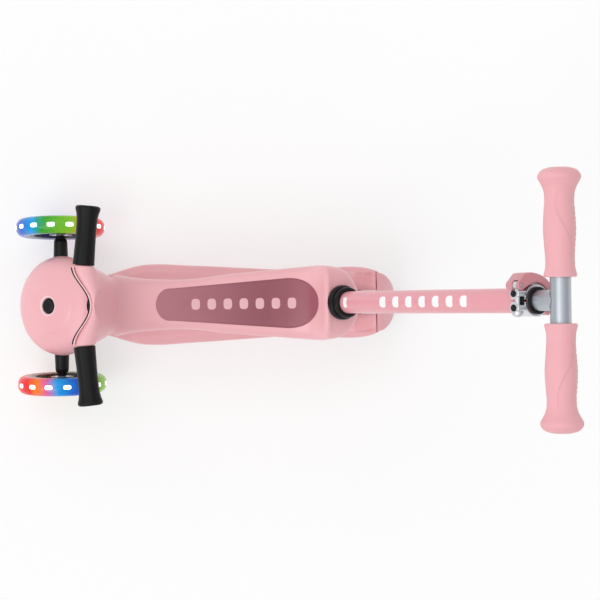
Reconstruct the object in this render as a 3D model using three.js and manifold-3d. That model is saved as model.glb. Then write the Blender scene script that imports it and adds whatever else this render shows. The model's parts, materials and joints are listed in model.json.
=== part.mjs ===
// Convertible toddler kick scooter: three wheels, a moulded ride-on seat with its own small
// handlebar, and a telescopic T-bar that sits behind the saddle as a push handle.
// Millimetres, +X forward, +Y to the rider's left, +Z up, standing on the floor z = 0,
// origin under the middle of the overall box.

import * as THREE from 'three';
import { mergeVertices } from 'three/addons/utils/BufferGeometryUtils.js';
import Module from 'manifold-3d';

const wasm = await Module();
wasm.setup();

const DEG = Math.PI / 180;

// ---------------------------------------------------------------- driving dimensions

const gap = 0.4;                  // clearance between pieces that touch or slide
const boreGap = 0.35;             // radial clearance of a shaft in its hole

// wheels and axles
const frontWheelRadius = 60.5;
const frontWheelWidth = 24;
const frontTrack = 214;           // between the two front wheels' mid-planes
const frontCamber = 3 * DEG;      // tops of the front wheels lean out
const rearWheelRadius = 40;
const rearWheelWidth = 26;
const wheelbase = 410;
const axleRadius = 4;
const bearingRadius = 11;
const bearingWidth = 7;
const lightCount = 15;            // light-emitting diodes round each front wheel

// deck
const deckWidth = 111;
const deckTop = 70;
const deckThickness = 24;
const deckSkin = 5;
const padX = 78;                  // middle of the flat fixing pad under the deck
const padDrop = 2;
const rearAxleX = -82;            // behind the point where the push bar meets the saddle line
const forkSlotGap = 3.5;          // between the rear tyre and each fork arm
const tailLength = 50;            // from the rear axle to the very end of the brake

// steering head: its axis leans forward, square to the round nose cover
const headTilt = 34 * DEG;
const headRise = 24.5;            // from the front axle up to the head's centre
const headBehindAxle = 3.6;
const noseRadius = 67.6;
const noseHeight = 28;
const noseWall = 3;
const lockButtonRadius = 10.2;
const lockTravel = 3;
const lockDepth = 8;              // from the cover's top down to the button's foot
const hubRadius = 28;
const armRadius = 9.5;

// front socket, where the T-bar goes when the seat is off
const socketLean = 10 * DEG;
const socketBehindAxle = noseRadius - 1.6;
const socketRise = 64.5;          // from the front axle up to the socket's mouth
const collarRadius = 22;
const collarHeight = 8;

// seat unit
const seatHeight = 216;
const seatWidth = 95.5;
const seatDepth = 38;
const seatWall = 3.6;
const padThickness = 2.4;
const childBarHeight = seatHeight + 79;
const childGripRadius = 13.2;
const childGripLength = 74;
const childBarHalfWidth = 49;     // from the middle to where each small grip starts
const stemRadius = 14;
const legRadius = 22;
const legFootHeight = 8;

// T-bar
const barLean = 35 * DEG;
const barFootX = -52;             // where the bar's axis leaves the seat
const barFootHeight = seatHeight + 19.7;
const tubeRadius = 14;
const tubeWall = 1.5;
const tubeBelowSeat = (barFootHeight - deckTop) / Math.cos(barLean) + 0.7;
const clampTop = 364;             // along the bar, from the seat
const clampHeight = 24;
const clampWall = 3.5;
const innerTubeRadius = 11.6;
const innerTubeLength = 243;
const handlebarAt = 401;          // along the bar, from the seat
const crossTubeRadius = 11.6;
const gripInnerEnd = 25.2;
const gripLength = 119;
const gripEndRadius = 23.4;
const gripBodyRadius = 16.4;

// ---------------------------------------------------------------- materials

const plastic = (color, roughness) =>
  new THREE.MeshStandardMaterial({ color, roughness, metalness: 0 });
const metal = (color, roughness) =>
  new THREE.MeshStandardMaterial({ color, roughness, metalness: 1 });

const bodyPink = plastic(0xf0a9ae, 0.38);
const barPink = plastic(0xee9aa2, 0.3);
const padRose = plastic(0xa5596a, 0.45);
const blackPlastic = plastic(0x17181a, 0.4);
const blackRubber = plastic(0x1b1b1d, 0.6);
const gripRubber = plastic(0xefa2a8, 0.5);
const leverRose = plastic(0xc67884, 0.35);
const tyreClear = plastic(0x4fa8d8, 0.25);
const lightWhite = plastic(0xffffff, 0.2);
const steel = metal(0xb9bcc0, 0.3);
const aluminium = metal(0xc9cdd3, 0.35);

// ---------------------------------------------------------------- solids

// Corners within the tolerance made one, without the triangles this flattens.
function welded(geometry, tolerance) {
  const bare = new THREE.BufferGeometry();
  bare.setAttribute('position', geometry.getAttribute('position'));
  if (geometry.index) bare.setIndex(geometry.index);
  const merged = mergeVertices(bare, tolerance);
  const kept = [];
  const index = merged.index.array;
  for (let i = 0; i < index.length; i += 3) {
    const [a, b, c] = [index[i], index[i + 1], index[i + 2]];
    if (a !== b && b !== c && c !== a) kept.push(a, b, c);
  }
  merged.setIndex(kept);
  return merged;
}

// A closed geometry as a manifold-3d solid with its faces pointing out.
function solid(geometry) {
  const merged = welded(geometry, 1e-4);
  const kept = merged.index.array;
  const build = (triangles) => new wasm.Manifold(new wasm.Mesh({
    numProp: 3,
    vertProperties: merged.attributes.position.array,
    triVerts: new Uint32Array(triangles),
  }));
  const made = build(kept);
  if (made.volume() > 0) return made;
  const turned = [];
  for (let i = 0; i < kept.length; i += 3) turned.push(kept[i], kept[i + 2], kept[i + 1]);
  return build(turned);
}

function geometryOf(made) {
  const mesh = made.getMesh();
  const geometry = new THREE.BufferGeometry();
  geometry.setAttribute('position', new THREE.BufferAttribute(mesh.vertProperties, 3));
  geometry.setIndex(new THREE.BufferAttribute(mesh.triVerts, 1));
  const finished = welded(geometry, 1e-3);
  finished.computeVertexNormals();
  return finished;
}

const join = (...parts) => parts.reduce((a, b) => a.add(b));
const cut = (body, ...tools) => tools.reduce((a, b) => a.subtract(b), body);

function add(parent, name, material, made) {
  const mesh = new THREE.Mesh(geometryOf(made), material);
  mesh.name = name;
  parent.add(mesh);
  return mesh;
}

// A profile of [radius, height] pairs turned about Z, and about Y.
function turnedGeometry(profile, segments) {
  const points = profile.map(([r, h]) => new THREE.Vector2(r, h));
  const onAxis = profile[0][0] === 0 && profile[profile.length - 1][0] === 0;
  if (!onAxis) points.push(points[0].clone());
  return new THREE.LatheGeometry(points, segments);
}
const turnedZ = (profile, segments = 24, matrix = null) => {
  const geometry = turnedGeometry(profile, segments).rotateX(Math.PI / 2);
  return solid(matrix ? geometry.applyMatrix4(matrix) : geometry);
};
const turnedY = (profile, segments = 24, matrix = null) => {
  const geometry = turnedGeometry(profile, segments);
  return solid(matrix ? geometry.applyMatrix4(matrix) : geometry);
};
const rodProfile = (radius, low, high) => [[0, low], [radius, low], [radius, high], [0, high]];
const ringProfile = (inner, outer, low, high) =>
  [[inner, low], [outer, low], [outer, high], [inner, high]];

function block(x0, x1, y0, y1, z0, z1, matrix = null) {
  const geometry = new THREE.BoxGeometry(x1 - x0, y1 - y0, z1 - z0)
    .translate((x0 + x1) / 2, (y0 + y1) / 2, (z0 + z1) / 2);
  return solid(matrix ? geometry.applyMatrix4(matrix) : geometry);
}

const outline = (points) => new THREE.Shape(points.map(([x, y]) => new THREE.Vector2(x, y)));

// An outline in plan, standing between two heights.
const prismZ = (points, low, high, matrix = null) => {
  const geometry = new THREE.ExtrudeGeometry(outline(points),
    { depth: high - low, bevelEnabled: false }).translate(0, 0, low);
  return solid(matrix ? geometry.applyMatrix4(matrix) : geometry);
};

// An outline in side view (x, z), running between two values of y.
const prismY = (points, low, high) => solid(new THREE.ExtrudeGeometry(
  outline(points), { depth: high - low, bevelEnabled: false })
  .rotateX(Math.PI / 2).translate(0, high, 0));

// A closed skin through rings of points, capped at both ends.
function loft(rings) {
  const count = rings[0].length;
  const positions = rings.flat().flatMap((p) => [p.x, p.y, p.z]);
  const index = [];
  for (let i = 0; i + 1 < rings.length; i += 1) {
    for (let j = 0; j < count; j += 1) {
      const k = (j + 1) % count;
      const [a, b, c, d] = [i * count + j, i * count + k, (i + 1) * count + k, (i + 1) * count + j];
      index.push(a, b, c, a, c, d);
    }
  }
  for (const [ring, forward] of [[0, false], [rings.length - 1, true]]) {
    const centre = rings[ring].reduce((a, p) => a.add(p), new THREE.Vector3()).divideScalar(count);
    const hub = positions.length / 3;
    positions.push(centre.x, centre.y, centre.z);
    for (let j = 0; j < count; j += 1) {
      const [a, b] = [ring * count + j, ring * count + (j + 1) % count];
      index.push(...(forward ? [hub, a, b] : [hub, b, a]));
    }
  }
  const geometry = new THREE.BufferGeometry();
  geometry.setAttribute('position', new THREE.BufferAttribute(new Float32Array(positions), 3));
  geometry.setIndex(index);
  return solid(geometry);
}

// A rounded box outline (superellipse) of half sizes a and b as [u, v] pairs.
function roundedOutline(a, b, squareness, count) {
  const power = (value) => Math.sign(value) * Math.abs(value) ** (2 / squareness);
  return Array.from({ length: count }, (_, i) => {
    const t = (i / count) * 2 * Math.PI;
    return [a * power(Math.cos(t)), b * power(Math.sin(t))];
  });
}

// Points along a circle, angles in degrees.
function arc(cx, cy, radius, from, to, steps) {
  return Array.from({ length: steps + 1 }, (_, i) => {
    const t = (from + (to - from) * (i / steps)) * DEG;
    return [cx + radius * Math.cos(t), cy + radius * Math.sin(t)];
  });
}

// Smooth value through [x, value] stations given in falling order of x.
function through(stations, x) {
  if (x >= stations[0][0]) return stations[0][1];
  const last = stations[stations.length - 1];
  if (x <= last[0]) return last[1];
  const i = stations.findIndex(([sx], n) => n > 0 && x >= sx) - 1;
  const [x0, v0] = stations[i];
  const [x1, v1] = stations[i + 1];
  const t = (x0 - x) / (x0 - x1);
  return v0 + (v1 - v0) * t;
}

// ---------------------------------------------------------------- places and frames

const frontAxleX = rearAxleX + wheelbase;
const frontAxleZ = frontWheelRadius;
const rearAxleZ = rearWheelRadius;
const deckBottom = deckTop - deckThickness;

const frame = (x, y, z, aboutY) =>
  new THREE.Matrix4().makeRotationY(aboutY).setPosition(x, y, z);

const head = { x: frontAxleX - headBehindAxle, z: frontAxleZ + headRise };
const headFrame = frame(head.x, 0, head.z, headTilt);
const socket = { x: frontAxleX - socketBehindAxle, z: frontAxleZ + socketRise };
const socketFrame = frame(socket.x, 0, socket.z, -socketLean);
const barFrame = frame(barFootX, 0, barFootHeight, -barLean);

function groupAt(x, z, aboutY) {
  const group = new THREE.Group();
  group.position.set(x, 0, z);
  group.rotation.y = aboutY;
  return group;
}

const scooter = new THREE.Group();
const frontEnd = frontAxleX + frontWheelRadius;
const handlebarX = barFootX - handlebarAt * Math.sin(barLean);
const rearEnd = handlebarX - gripEndRadius;
scooter.position.x = -(frontEnd + rearEnd) / 2;

const headGroup = groupAt(head.x, head.z, headTilt);
const socketGroup = groupAt(socket.x, socket.z, -socketLean);
const barGroup = groupAt(barFootX, barFootHeight, -barLean);
scooter.add(headGroup, socketGroup, barGroup);

// ---------------------------------------------------------------- deck

const deckHalf = deckWidth / 2;
const noseBack = head.x - noseRadius * Math.cos(headTilt);
const neckFront = noseBack + 13.6;

// Half width of the deck in plan, from the neck back to the fork ends.
const deckWidths = [
  [neckFront, 0.69 * deckHalf],
  [noseBack + 6, 0.7 * deckHalf],
  [noseBack - 11, 0.765 * deckHalf],
  [noseBack - 24, 0.855 * deckHalf],
  [noseBack - 36, 0.925 * deckHalf],
  [noseBack - 50, 0.98 * deckHalf],
  [noseBack - 72, deckHalf],
  [noseBack - 110, 0.965 * deckHalf],
  [70, 0.875 * deckHalf],
  [0, 0.82 * deckHalf],
  [-30, 0.835 * deckHalf],
  [-60, 0.88 * deckHalf],
  [-74, 0.88 * deckHalf],
  [-92, 0.84 * deckHalf],
  [rearAxleX - 27, 0.733 * deckHalf],
];
const neckTop = socket.z - 8;
const underRim = (x) => head.z - 4.6 - (x - head.x) * Math.tan(headTilt);
const neckStations = [
  [neckFront, head.z - 6, underRim(neckFront)],
  [noseBack, head.z - 17, underRim(noseBack)],
  [socket.x, head.z - 25, neckTop - 10],
  [socket.x - 12, head.z - 33, deckTop + 0.47 * (neckTop - deckTop)],
  [socket.x - 27, deckBottom + 2, deckTop + 0.12 * (neckTop - deckTop)],
  [socket.x - 45, deckBottom, deckTop],
  [rearAxleX + 14, deckBottom, deckTop],
  [rearAxleX - 10, deckBottom, deckTop + 7],
  [rearAxleX - 20, deckBottom, deckTop + 10],
  [rearAxleX - 27, deckBottom + 3, deckTop + 10],
];
const deckLow = neckStations.map(([x, low]) => [x, low]);
const deckHigh = neckStations.map(([x, , high]) => [x, high]);

function deckSection(x) {
  const [low, high] = [through(deckLow, x), through(deckHigh, x)];
  return roundedOutline(through(deckWidths, x), (high - low) / 2, 4.5, 16)
    .map(([y, z]) => new THREE.Vector3(x, y, (low + high) / 2 + z));
}

// Whole millimetres, so that two stations never fall a hair apart and leave slivers.
const deckXs = [...new Set([...deckWidths, ...neckStations].map(([x]) => Math.round(x)))]
  .sort((a, b) => b - a);

const blockLow = -4.5;            // underside of the head block, along the head's axis
const slotHalf = rearWheelWidth / 2 + forkSlotGap;
const hingeX = rearAxleX + rearWheelRadius + 8;
const hingeZ = deckTop - 4;
const hingePinRadius = 2;
const knuckleRadius = 5.5;
const lugOuter = slotHalf + 13.5;

function makeDeck() {
  const platform = loft(deckXs.map(deckSection));
  const headBlock = turnedZ([[0, blockLow], [noseRadius - 10, blockLow], [noseRadius - 10, 6],
    [12, 9], [12, 12], [0, 12]], 28, headFrame);
  const socketTower = turnedZ(
    [[0, -46], [18, -46], [19.5, -20], [19.5, 0], [0, 0]], 24, socketFrame);
  const lug = (side) => {
    const drop = rearAxleZ - 10;
    const shape = [[rearAxleX - 16, deckBottom + 4], [rearAxleX - 10, drop + 4],
      [rearAxleX - 5, drop], [rearAxleX + 5, drop], [rearAxleX + 10, drop + 4],
      [rearAxleX + 16, deckBottom + 4]];
    const [low, high] = side > 0 ? [slotHalf - 1, lugOuter] : [-lugOuter, -slotHalf + 1];
    return prismY(shape, low, high);
  };
  const pad = block(padX - 25, padX + 25, -22, 22, deckBottom - padDrop, deckBottom + 3);
  const body = join(platform, headBlock, socketTower, pad, lug(1), lug(-1));

  const across = (radius, length, x, z) => turnedY(
    rodProfile(radius, -length, length), 16, frame(x, 0, z, 0));
  const wheelSlot = block(rearAxleX - 60, hingeX + knuckleRadius + 1.5,
    -slotHalf, slotHalf, 0, deckTop + 40);
  const brakeRoom = block(rearAxleX - 60, rearAxleX - 21.5, -deckWidth, deckWidth,
    deckTop - 4, deckTop + 40);
  const pocket = (x0, x1, side) => {
    const [low, high] = side > 0 ? [4, 0.62 * deckHalf] : [-0.62 * deckHalf, -4];
    return block(x0, x1, low, high, deckBottom - 5, deckTop - deckSkin);
  };
  const barEnd = turnedZ(rodProfile(tubeRadius + 0.8, -tubeBelowSeat - 6, 0), 20, barFrame);
  const boltRoom = (side) => turnedY(side > 0 ? rodProfile(8.6, lugOuter, 60)
    : rodProfile(8.6, -60, -lugOuter), 16, frame(rearAxleX, 0, rearAxleZ, 0));
  return cut(body, wheelSlot, brakeRoom, boltRoom(1), boltRoom(-1),
    across(axleRadius + boreGap, 60, rearAxleX, rearAxleZ),
    across(hingePinRadius + boreGap, 27, hingeX, hingeZ),
    turnedZ(rodProfile(stemRadius + boreGap, -46, 5), 24, socketFrame),
    turnedZ(rodProfile(collarRadius + gap, gap / 2, 40), 24, socketFrame),
    turnedZ(rodProfile(axleRadius + boreGap, -10, 20), 16, headFrame),
    barEnd,
    pocket(118, 170, 1), pocket(118, 170, -1), pocket(-18, 26, 1), pocket(-18, 26, -1));
}

add(scooter, 'deck', bodyPink, makeDeck());

// ---------------------------------------------------------------- steering head

// Height of the nose cover over its radius, in the head's own frame.
const noseProfile = [[1, 0], [0.985, 0.18], [0.955, 0.38], [0.9, 0.58], [0.81, 0.74],
  [0.6, 0.87], [0.3, 0.965]];

function makeNoseCover() {
  const outer = noseProfile.map(([r, h]) => [r * noseRadius, h * noseHeight]);
  const inner = outer.map(([r, h]) => [r - noseWall, Math.max(h - noseWall, 0)]).reverse();
  const hole = lockButtonRadius + boreGap;
  const profile = [[noseRadius, -3.5], ...outer, [hole + 2.2, noseHeight], [hole, noseHeight - 1.2],
    [hole, noseHeight - 10], [hole + 2.4, noseHeight - 10], [hole + 2.4, noseHeight - 4.6],
    ...inner, [noseRadius - noseWall, -3.5]];
  const shell = turnedZ(profile, 32, headFrame);
  return cut(shell, turnedZ(rodProfile(collarRadius + 1.2, -30, 40), 24, socketFrame));
}

add(scooter, 'nose_cover', bodyPink, makeNoseCover());

add(headGroup, 'lock_button', blackPlastic, turnedZ([[0, noseHeight - lockDepth],
  [lockButtonRadius, noseHeight - lockDepth], [lockButtonRadius, noseHeight - 0.8],
  [lockButtonRadius - 1.2, noseHeight + 0.4], [0, noseHeight + 1.4]]));

const kingpinTop = noseHeight - lockDepth - lockTravel - gap;
const hubTop = -8;
const hubBottom = -33;
add(headGroup, 'steering_bushing', blackRubber,
  turnedZ(ringProfile(axleRadius + boreGap, 14, hubTop + gap, blockLow - gap), 20));
add(headGroup, 'kingpin_bolt', steel, turnedZ([[0, hubBottom - 5.4],
  [6.5, hubBottom - 5.4], [6.5, hubBottom - gap], [axleRadius, hubBottom - gap],
  [axleRadius, kingpinTop], [0, kingpinTop]], 16));
add(headGroup, 'kingpin_nut', steel, cut(turnedZ(rodProfile(6.6, 12 + gap, kingpinTop), 6),
  turnedZ(rodProfile(axleRadius + boreGap, 0, 30), 16)));

// The truck carries both front wheels and turns about the head's axis.
const wheelOffset = frontTrack / 2;
const wheelFrame = (side) => new THREE.Matrix4().makeRotationX(-side * frontCamber)
  .setPosition(frontAxleX, side * wheelOffset, frontAxleZ);
const bearingFace = bearingWidth + 3;

function makeTruck() {
  const hub = turnedZ([[0, hubBottom], [hubRadius - 4, hubBottom], [hubRadius, hubBottom + 4],
    [hubRadius, hubTop - 3], [hubRadius - 3, hubTop], [0, hubTop]], 28, headFrame);
  const armEnd = wheelOffset - frontWheelWidth / 2 - 3.5;
  const arms = turnedY([[0, -armEnd], [armRadius - 1.5, -armEnd], [armRadius - 0.3, -armEnd + 3],
    [armRadius + 1.5, -hubRadius], [armRadius + 1.5, hubRadius],
    [armRadius - 0.3, armEnd - 3], [armRadius - 1.5, armEnd], [0, armEnd]],
  20, frame(frontAxleX, 0, frontAxleZ, 0));
  const boss = (side) => turnedY(side > 0 ? rodProfile(6.5, -24, -bearingFace - gap)
    : rodProfile(6.5, bearingFace + gap, 24), 16, wheelFrame(side));
  const bolt = (side) => turnedY(side > 0 ? rodProfile(axleRadius + boreGap, -46.5, 0)
    : rodProfile(axleRadius + boreGap, 0, 46.5), 16, wheelFrame(side));
  return cut(join(hub, arms, boss(1), boss(-1)), bolt(1), bolt(-1),
    turnedZ(rodProfile(axleRadius + boreGap, hubBottom - 5, 5), 16, headFrame));
}

add(scooter, 'steering_truck', blackPlastic, makeTruck());

// ---------------------------------------------------------------- front wheels

const rimRadius = 0.66 * frontWheelRadius;

function makeFrontTyre() {
  const half = frontWheelWidth / 2;
  const bulge = Array.from({ length: 9 }, (_, i) => {
    const t = (-1 + i / 4) * 78 * DEG;
    return [rimRadius + 9 + (frontWheelRadius - rimRadius - 9) * Math.cos(t) ** 0.8,
      half * Math.sin(t) / Math.sin(78 * DEG)];
  });
  const inner = rimRadius + gap;
  const groove = inner + 3.2;
  const shoulder = 0.48 * half;
  return turnedY([[inner, -half + 1], ...bulge, [inner, half - 1], [inner, shoulder],
    [groove, shoulder], [groove, -shoulder], [inner, -shoulder]], 32);
}

function makeLightRing() {
  const half = 0.44 * frontWheelWidth / 2;
  const inner = rimRadius + gap;
  const ring = turnedY(ringProfile(inner, inner + 1.6, -half, half), 30);
  const lamps = Array.from({ length: lightCount }, (_, i) => block(
    -3.2, 3.2, -half + 0.6, half - 0.6, inner + 1, inner + 2.6,
    new THREE.Matrix4().makeRotationY((i / lightCount) * 2 * Math.PI)));
  return join(ring, ...lamps);
}

// A hub with a barrel for two bearings, a thin web with round windows, and a rim.
function makeWheelCore(rim, width, windows) {
  const [barrel, half] = [bearingRadius + boreGap, width / 2];
  const web = 0.17 * width;
  const core = turnedY([[barrel, -half + 2], [barrel + 4, -half + 2], [barrel + 5, -web],
    [rim - 4, -web], [rim - 3, -half + 1], [rim, -half + 1], [rim, half - 1],
    [rim - 3, half - 1], [rim - 4, web], [barrel + 5, web], [barrel + 4, half - 2],
    [barrel, half - 2]], 30);
  const middle = (barrel + 5 + rim - 4) / 2;
  const hole = (rim - barrel - 9) / 2 - 1.2;
  const holes = Array.from({ length: windows }, (_, i) => turnedY(
    rodProfile(hole, -width, width), 10, new THREE.Matrix4()
      .makeRotationY((i / windows) * 2 * Math.PI)
      .multiply(new THREE.Matrix4().makeTranslation(middle, 0, 0))));
  return cut(core, ...holes);
}

const bearing = (low) => turnedY([[axleRadius + boreGap, low], [bearingRadius, low],
  [bearingRadius, low + bearingWidth], [axleRadius + boreGap, low + bearingWidth]], 20);

for (const [name, side] of [['left', 1], ['right', -1]]) {
  const wheel = new THREE.Group();
  wheel.position.set(frontAxleX, side * wheelOffset, frontAxleZ);
  wheel.rotation.x = -side * frontCamber;
  scooter.add(wheel);
  add(wheel, `${name}_front_tyre`, tyreClear, makeFrontTyre());
  add(wheel, `${name}_light_ring`, lightWhite, makeLightRing());
  add(wheel, `${name}_front_wheel_core`, blackPlastic,
    makeWheelCore(rimRadius, frontWheelWidth, 5));
  const [near, far] = [-bearingFace, bearingFace - bearingWidth];
  add(wheel, `${name}_front_bearing_inner`, steel, bearing(side > 0 ? near : far));
  add(wheel, `${name}_front_bearing_outer`, steel, bearing(side > 0 ? far : near));
  add(wheel, `${name}_dynamo_magnet`, steel, turnedY(
    ringProfile(axleRadius + boreGap, 9, -3 + gap, 3 - gap), 20));
  const outward = (h) => side * h;
  add(wheel, `${name}_front_axle`, steel, turnedY([[0, outward(-45)], [axleRadius, outward(-45)],
    [axleRadius, outward(bearingFace + gap)], [7, outward(bearingFace + gap)],
    [7, outward(bearingFace + 3.2)], [5.6, outward(bearingFace + 4.8)],
    [0, outward(bearingFace + 4.8)]], 16));
}

// ---------------------------------------------------------------- rear wheel

const rearRim = 0.7 * rearWheelRadius;
const rearWheel = new THREE.Group();
rearWheel.position.set(rearAxleX, 0, rearAxleZ);
scooter.add(rearWheel);

function makeRearTyre() {
  const half = rearWheelWidth / 2;
  const inner = rearRim + gap;
  return turnedY([[inner, -half], [rearWheelRadius - 4, -half], [rearWheelRadius - 1.2, -half + 3],
    [rearWheelRadius, -half + 7], [rearWheelRadius, half - 7], [rearWheelRadius - 1.2, half - 3],
    [rearWheelRadius - 4, half], [inner, half]], 36);
}

add(rearWheel, 'rear_tyre', blackRubber, makeRearTyre());
add(rearWheel, 'rear_wheel_core', bodyPink, makeWheelCore(rearRim, rearWheelWidth, 5));
add(rearWheel, 'rear_bearing_left', steel, bearing(bearingFace - bearingWidth));
add(rearWheel, 'rear_bearing_right', steel, bearing(-bearingFace));
add(rearWheel, 'rear_axle_bolt', steel, turnedY([[0, -lugOuter - 7], [axleRadius, -lugOuter - 7],
  [axleRadius, lugOuter + gap], [7, lugOuter + gap], [7, lugOuter + 3.4],
  [5.6, lugOuter + 5], [0, lugOuter + 5]], 16));
add(rearWheel, 'rear_axle_nut', steel, cut(
  turnedY(rodProfile(7.4, -lugOuter - 6, -lugOuter - gap), 6),
  turnedY(rodProfile(axleRadius + boreGap, -60, 0), 16)));

// ---------------------------------------------------------------- rear brake

const brakeGap = 4.2;             // from the tyre to the brake when it is up
const brakeThickness = 4.6;
const brakeInner = rearWheelRadius + brakeGap;
const brakeOuter = brakeInner + brakeThickness;

function makeBrake() {
  const sweep = (radius, from, to) => arc(rearAxleX, rearAxleZ, radius, from, to, 20);
  const fender = prismY([...sweep(brakeOuter, 34, 168), ...sweep(brakeInner, 168, 34)],
    -deckHalf, deckHalf);
  const tongue = slotHalf - 0.8;
  const seam = rearAxleX - 23;
  const tail = rearAxleX - tailLength;
  const half = [[rearAxleX + brakeOuter, tongue], [seam, tongue]];
  const rim = Array.from({ length: 9 }, (_, i) => {
    const t = (i / 8) * Math.PI / 2;
    return [seam + (tail - seam) * Math.sin(t), 0.72 * deckHalf * Math.cos(t)];
  });
  const side = [...half, ...rim.slice(0, -1)];
  const plan = [...side, [tail, 0], ...side.map(([x, y]) => [x, -y]).reverse()];
  const cover = prismZ(plan, 0, 200);
  const knuckle = turnedY(rodProfile(knuckleRadius, -12, 12), 20, frame(hingeX, 0, hingeZ, 0));
  const tie = prismY([[hingeX - 2, hingeZ - 4], [hingeX + 3, hingeZ + 4],
    [rearAxleX + brakeOuter * 0.72, rearAxleZ + brakeOuter * 0.69],
    [rearAxleX + brakeInner * 0.81, rearAxleZ + brakeInner * 0.59]], -12, 12);
  const pin = turnedY(rodProfile(hingePinRadius + boreGap, -30, 30), 14,
    frame(hingeX, 0, hingeZ, 0));
  return cut(join(fender.intersect(cover), knuckle, tie), pin);
}

add(scooter, 'brake_flap', bodyPink, makeBrake());

const hinge = new THREE.Group();
hinge.position.set(hingeX, 0, hingeZ);
scooter.add(hinge);
add(hinge, 'brake_hinge_pin', steel, turnedY(rodProfile(hingePinRadius, -26, 26), 14));
add(hinge, 'brake_spring', steel, turnedY([[2.7, 12.5], [4.2, 12.7], [3.7, 13.2], [4.2, 13.7],
  [3.7, 14.2], [4.2, 14.7], [3.7, 15.2], [4.2, 15.6], [2.7, 15.8]], 16));

// ---------------------------------------------------------------- seat unit

const seatHalf = seatWidth / 2;
const barAxisX = (z) => barFootX + (barFootHeight - z) * Math.tan(barLean);
const neckX = socket.x - 22;      // where the saddle's front meets the column

// The saddle's back slopes square to the T-bar, so that its collar sits flat.
const crestAt = (x) => barFootHeight + (x - barFootX) * Math.tan(barLean);

// [x, half width, top, bottom] along the saddle.
const seatStations = [
  [neckX, 0.84 * seatHalf, seatHeight + 16, seatHeight - seatDepth - 10],
  [neckX - 15, 0.775 * seatHalf, seatHeight + 8, seatHeight - seatDepth - 6],
  [neckX - 35, 0.71 * seatHalf, seatHeight + 2, seatHeight - seatDepth - 2],
  [neckX - 56, 0.68 * seatHalf, seatHeight, seatHeight - seatDepth],
  [neckX - 98, 0.675 * seatHalf, seatHeight - 2, seatHeight - seatDepth],
  [100, 0.78 * seatHalf, seatHeight - 3, seatHeight - seatDepth],
  [65, 0.85 * seatHalf, seatHeight - 3, seatHeight - seatDepth],
  [30, 0.912 * seatHalf, seatHeight - 2, seatHeight - seatDepth],
  [0, 0.963 * seatHalf, seatHeight + 1, seatHeight - seatDepth + 2],
  [-24, seatHalf, seatHeight + 8, seatHeight - seatDepth + 6],
  [-34, 0.985 * seatHalf, crestAt(-34), seatHeight - seatDepth + 11],
  [-50, 0.925 * seatHalf, crestAt(-50), seatHeight - seatDepth + 16],
  [-60, 0.81 * seatHalf, crestAt(-60), seatHeight - seatDepth + 18],
  [-70, 0.49 * seatHalf, crestAt(-70), seatHeight - seatDepth + 24],
  [-76, 0.17 * seatHalf, crestAt(-76), seatHeight - seatDepth + 30],
];
const seatSquareness = 3.2;
const column = (n) => seatStations.map((row) => [row[0], row[n]]);
const [seatHalves, seatTops, seatBottoms] = [column(1), column(2), column(3)];

function seatSection(x, inset = 0, lowered = 0) {
  const [top, bottom] = [through(seatTops, x) - inset, through(seatBottoms, x) - lowered];
  return roundedOutline(through(seatHalves, x) - inset, (top - bottom) / 2, seatSquareness, 16)
    .map(([y, z]) => new THREE.Vector3(x, y, (top + bottom) / 2 + z));
}

// Height of the saddle's top skin.
function seatSurface(x, y) {
  const [top, bottom, half] = [through(seatTops, x), through(seatBottoms, x),
    through(seatHalves, x)];
  const share = Math.min(Math.abs(y) / half, 1) ** seatSquareness;
  return (top + bottom) / 2 + ((top - bottom) / 2) * (1 - share) ** (1 / seatSquareness);
}

// Front edge of the crossbar: set back in the middle, forward at the grips.
const barFront = (y) => {
  const t = Math.min(Math.abs(y) / childBarHalfWidth, 1);
  return socket.x - 3.5 + 21.4 * (0.5 - 0.5 * Math.cos(Math.PI * t)) ** 1.1;
};
const barBack = (y) => socket.x - 15 + 7.5 * (Math.abs(y) / childBarHalfWidth) ** 2;
const crossHalfHeight = 12.5;

const columnLow = socket.z + collarHeight + 3;
const columnStations = [
  [columnLow, socket.x - 22, socket.x + 15, 21],
  [columnLow + 24, socket.x - 28, socket.x + 13, 22],
  [seatHeight - 26, socket.x - 34, socket.x + 10, 27],
  [seatHeight + 4, socket.x - 32, socket.x + 6, 36],
  [seatHeight + 34, socket.x - 24, socket.x + 2, 41],
  [childBarHeight - 20, socket.x - 18, socket.x - 2.2, 44],
  [childBarHeight + 5, socket.x - 13, socket.x - 3.5, 45],
];

const gripSweep = 5.3 * DEG;
const gripRootX = socket.x + 5.6;
const gripFrame = (side) => new THREE.Matrix4().makeRotationZ(side * gripSweep)
  .setPosition(gripRootX, side * (childBarHalfWidth + 1), childBarHeight);
const stubLength = childGripLength - 6;

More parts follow.
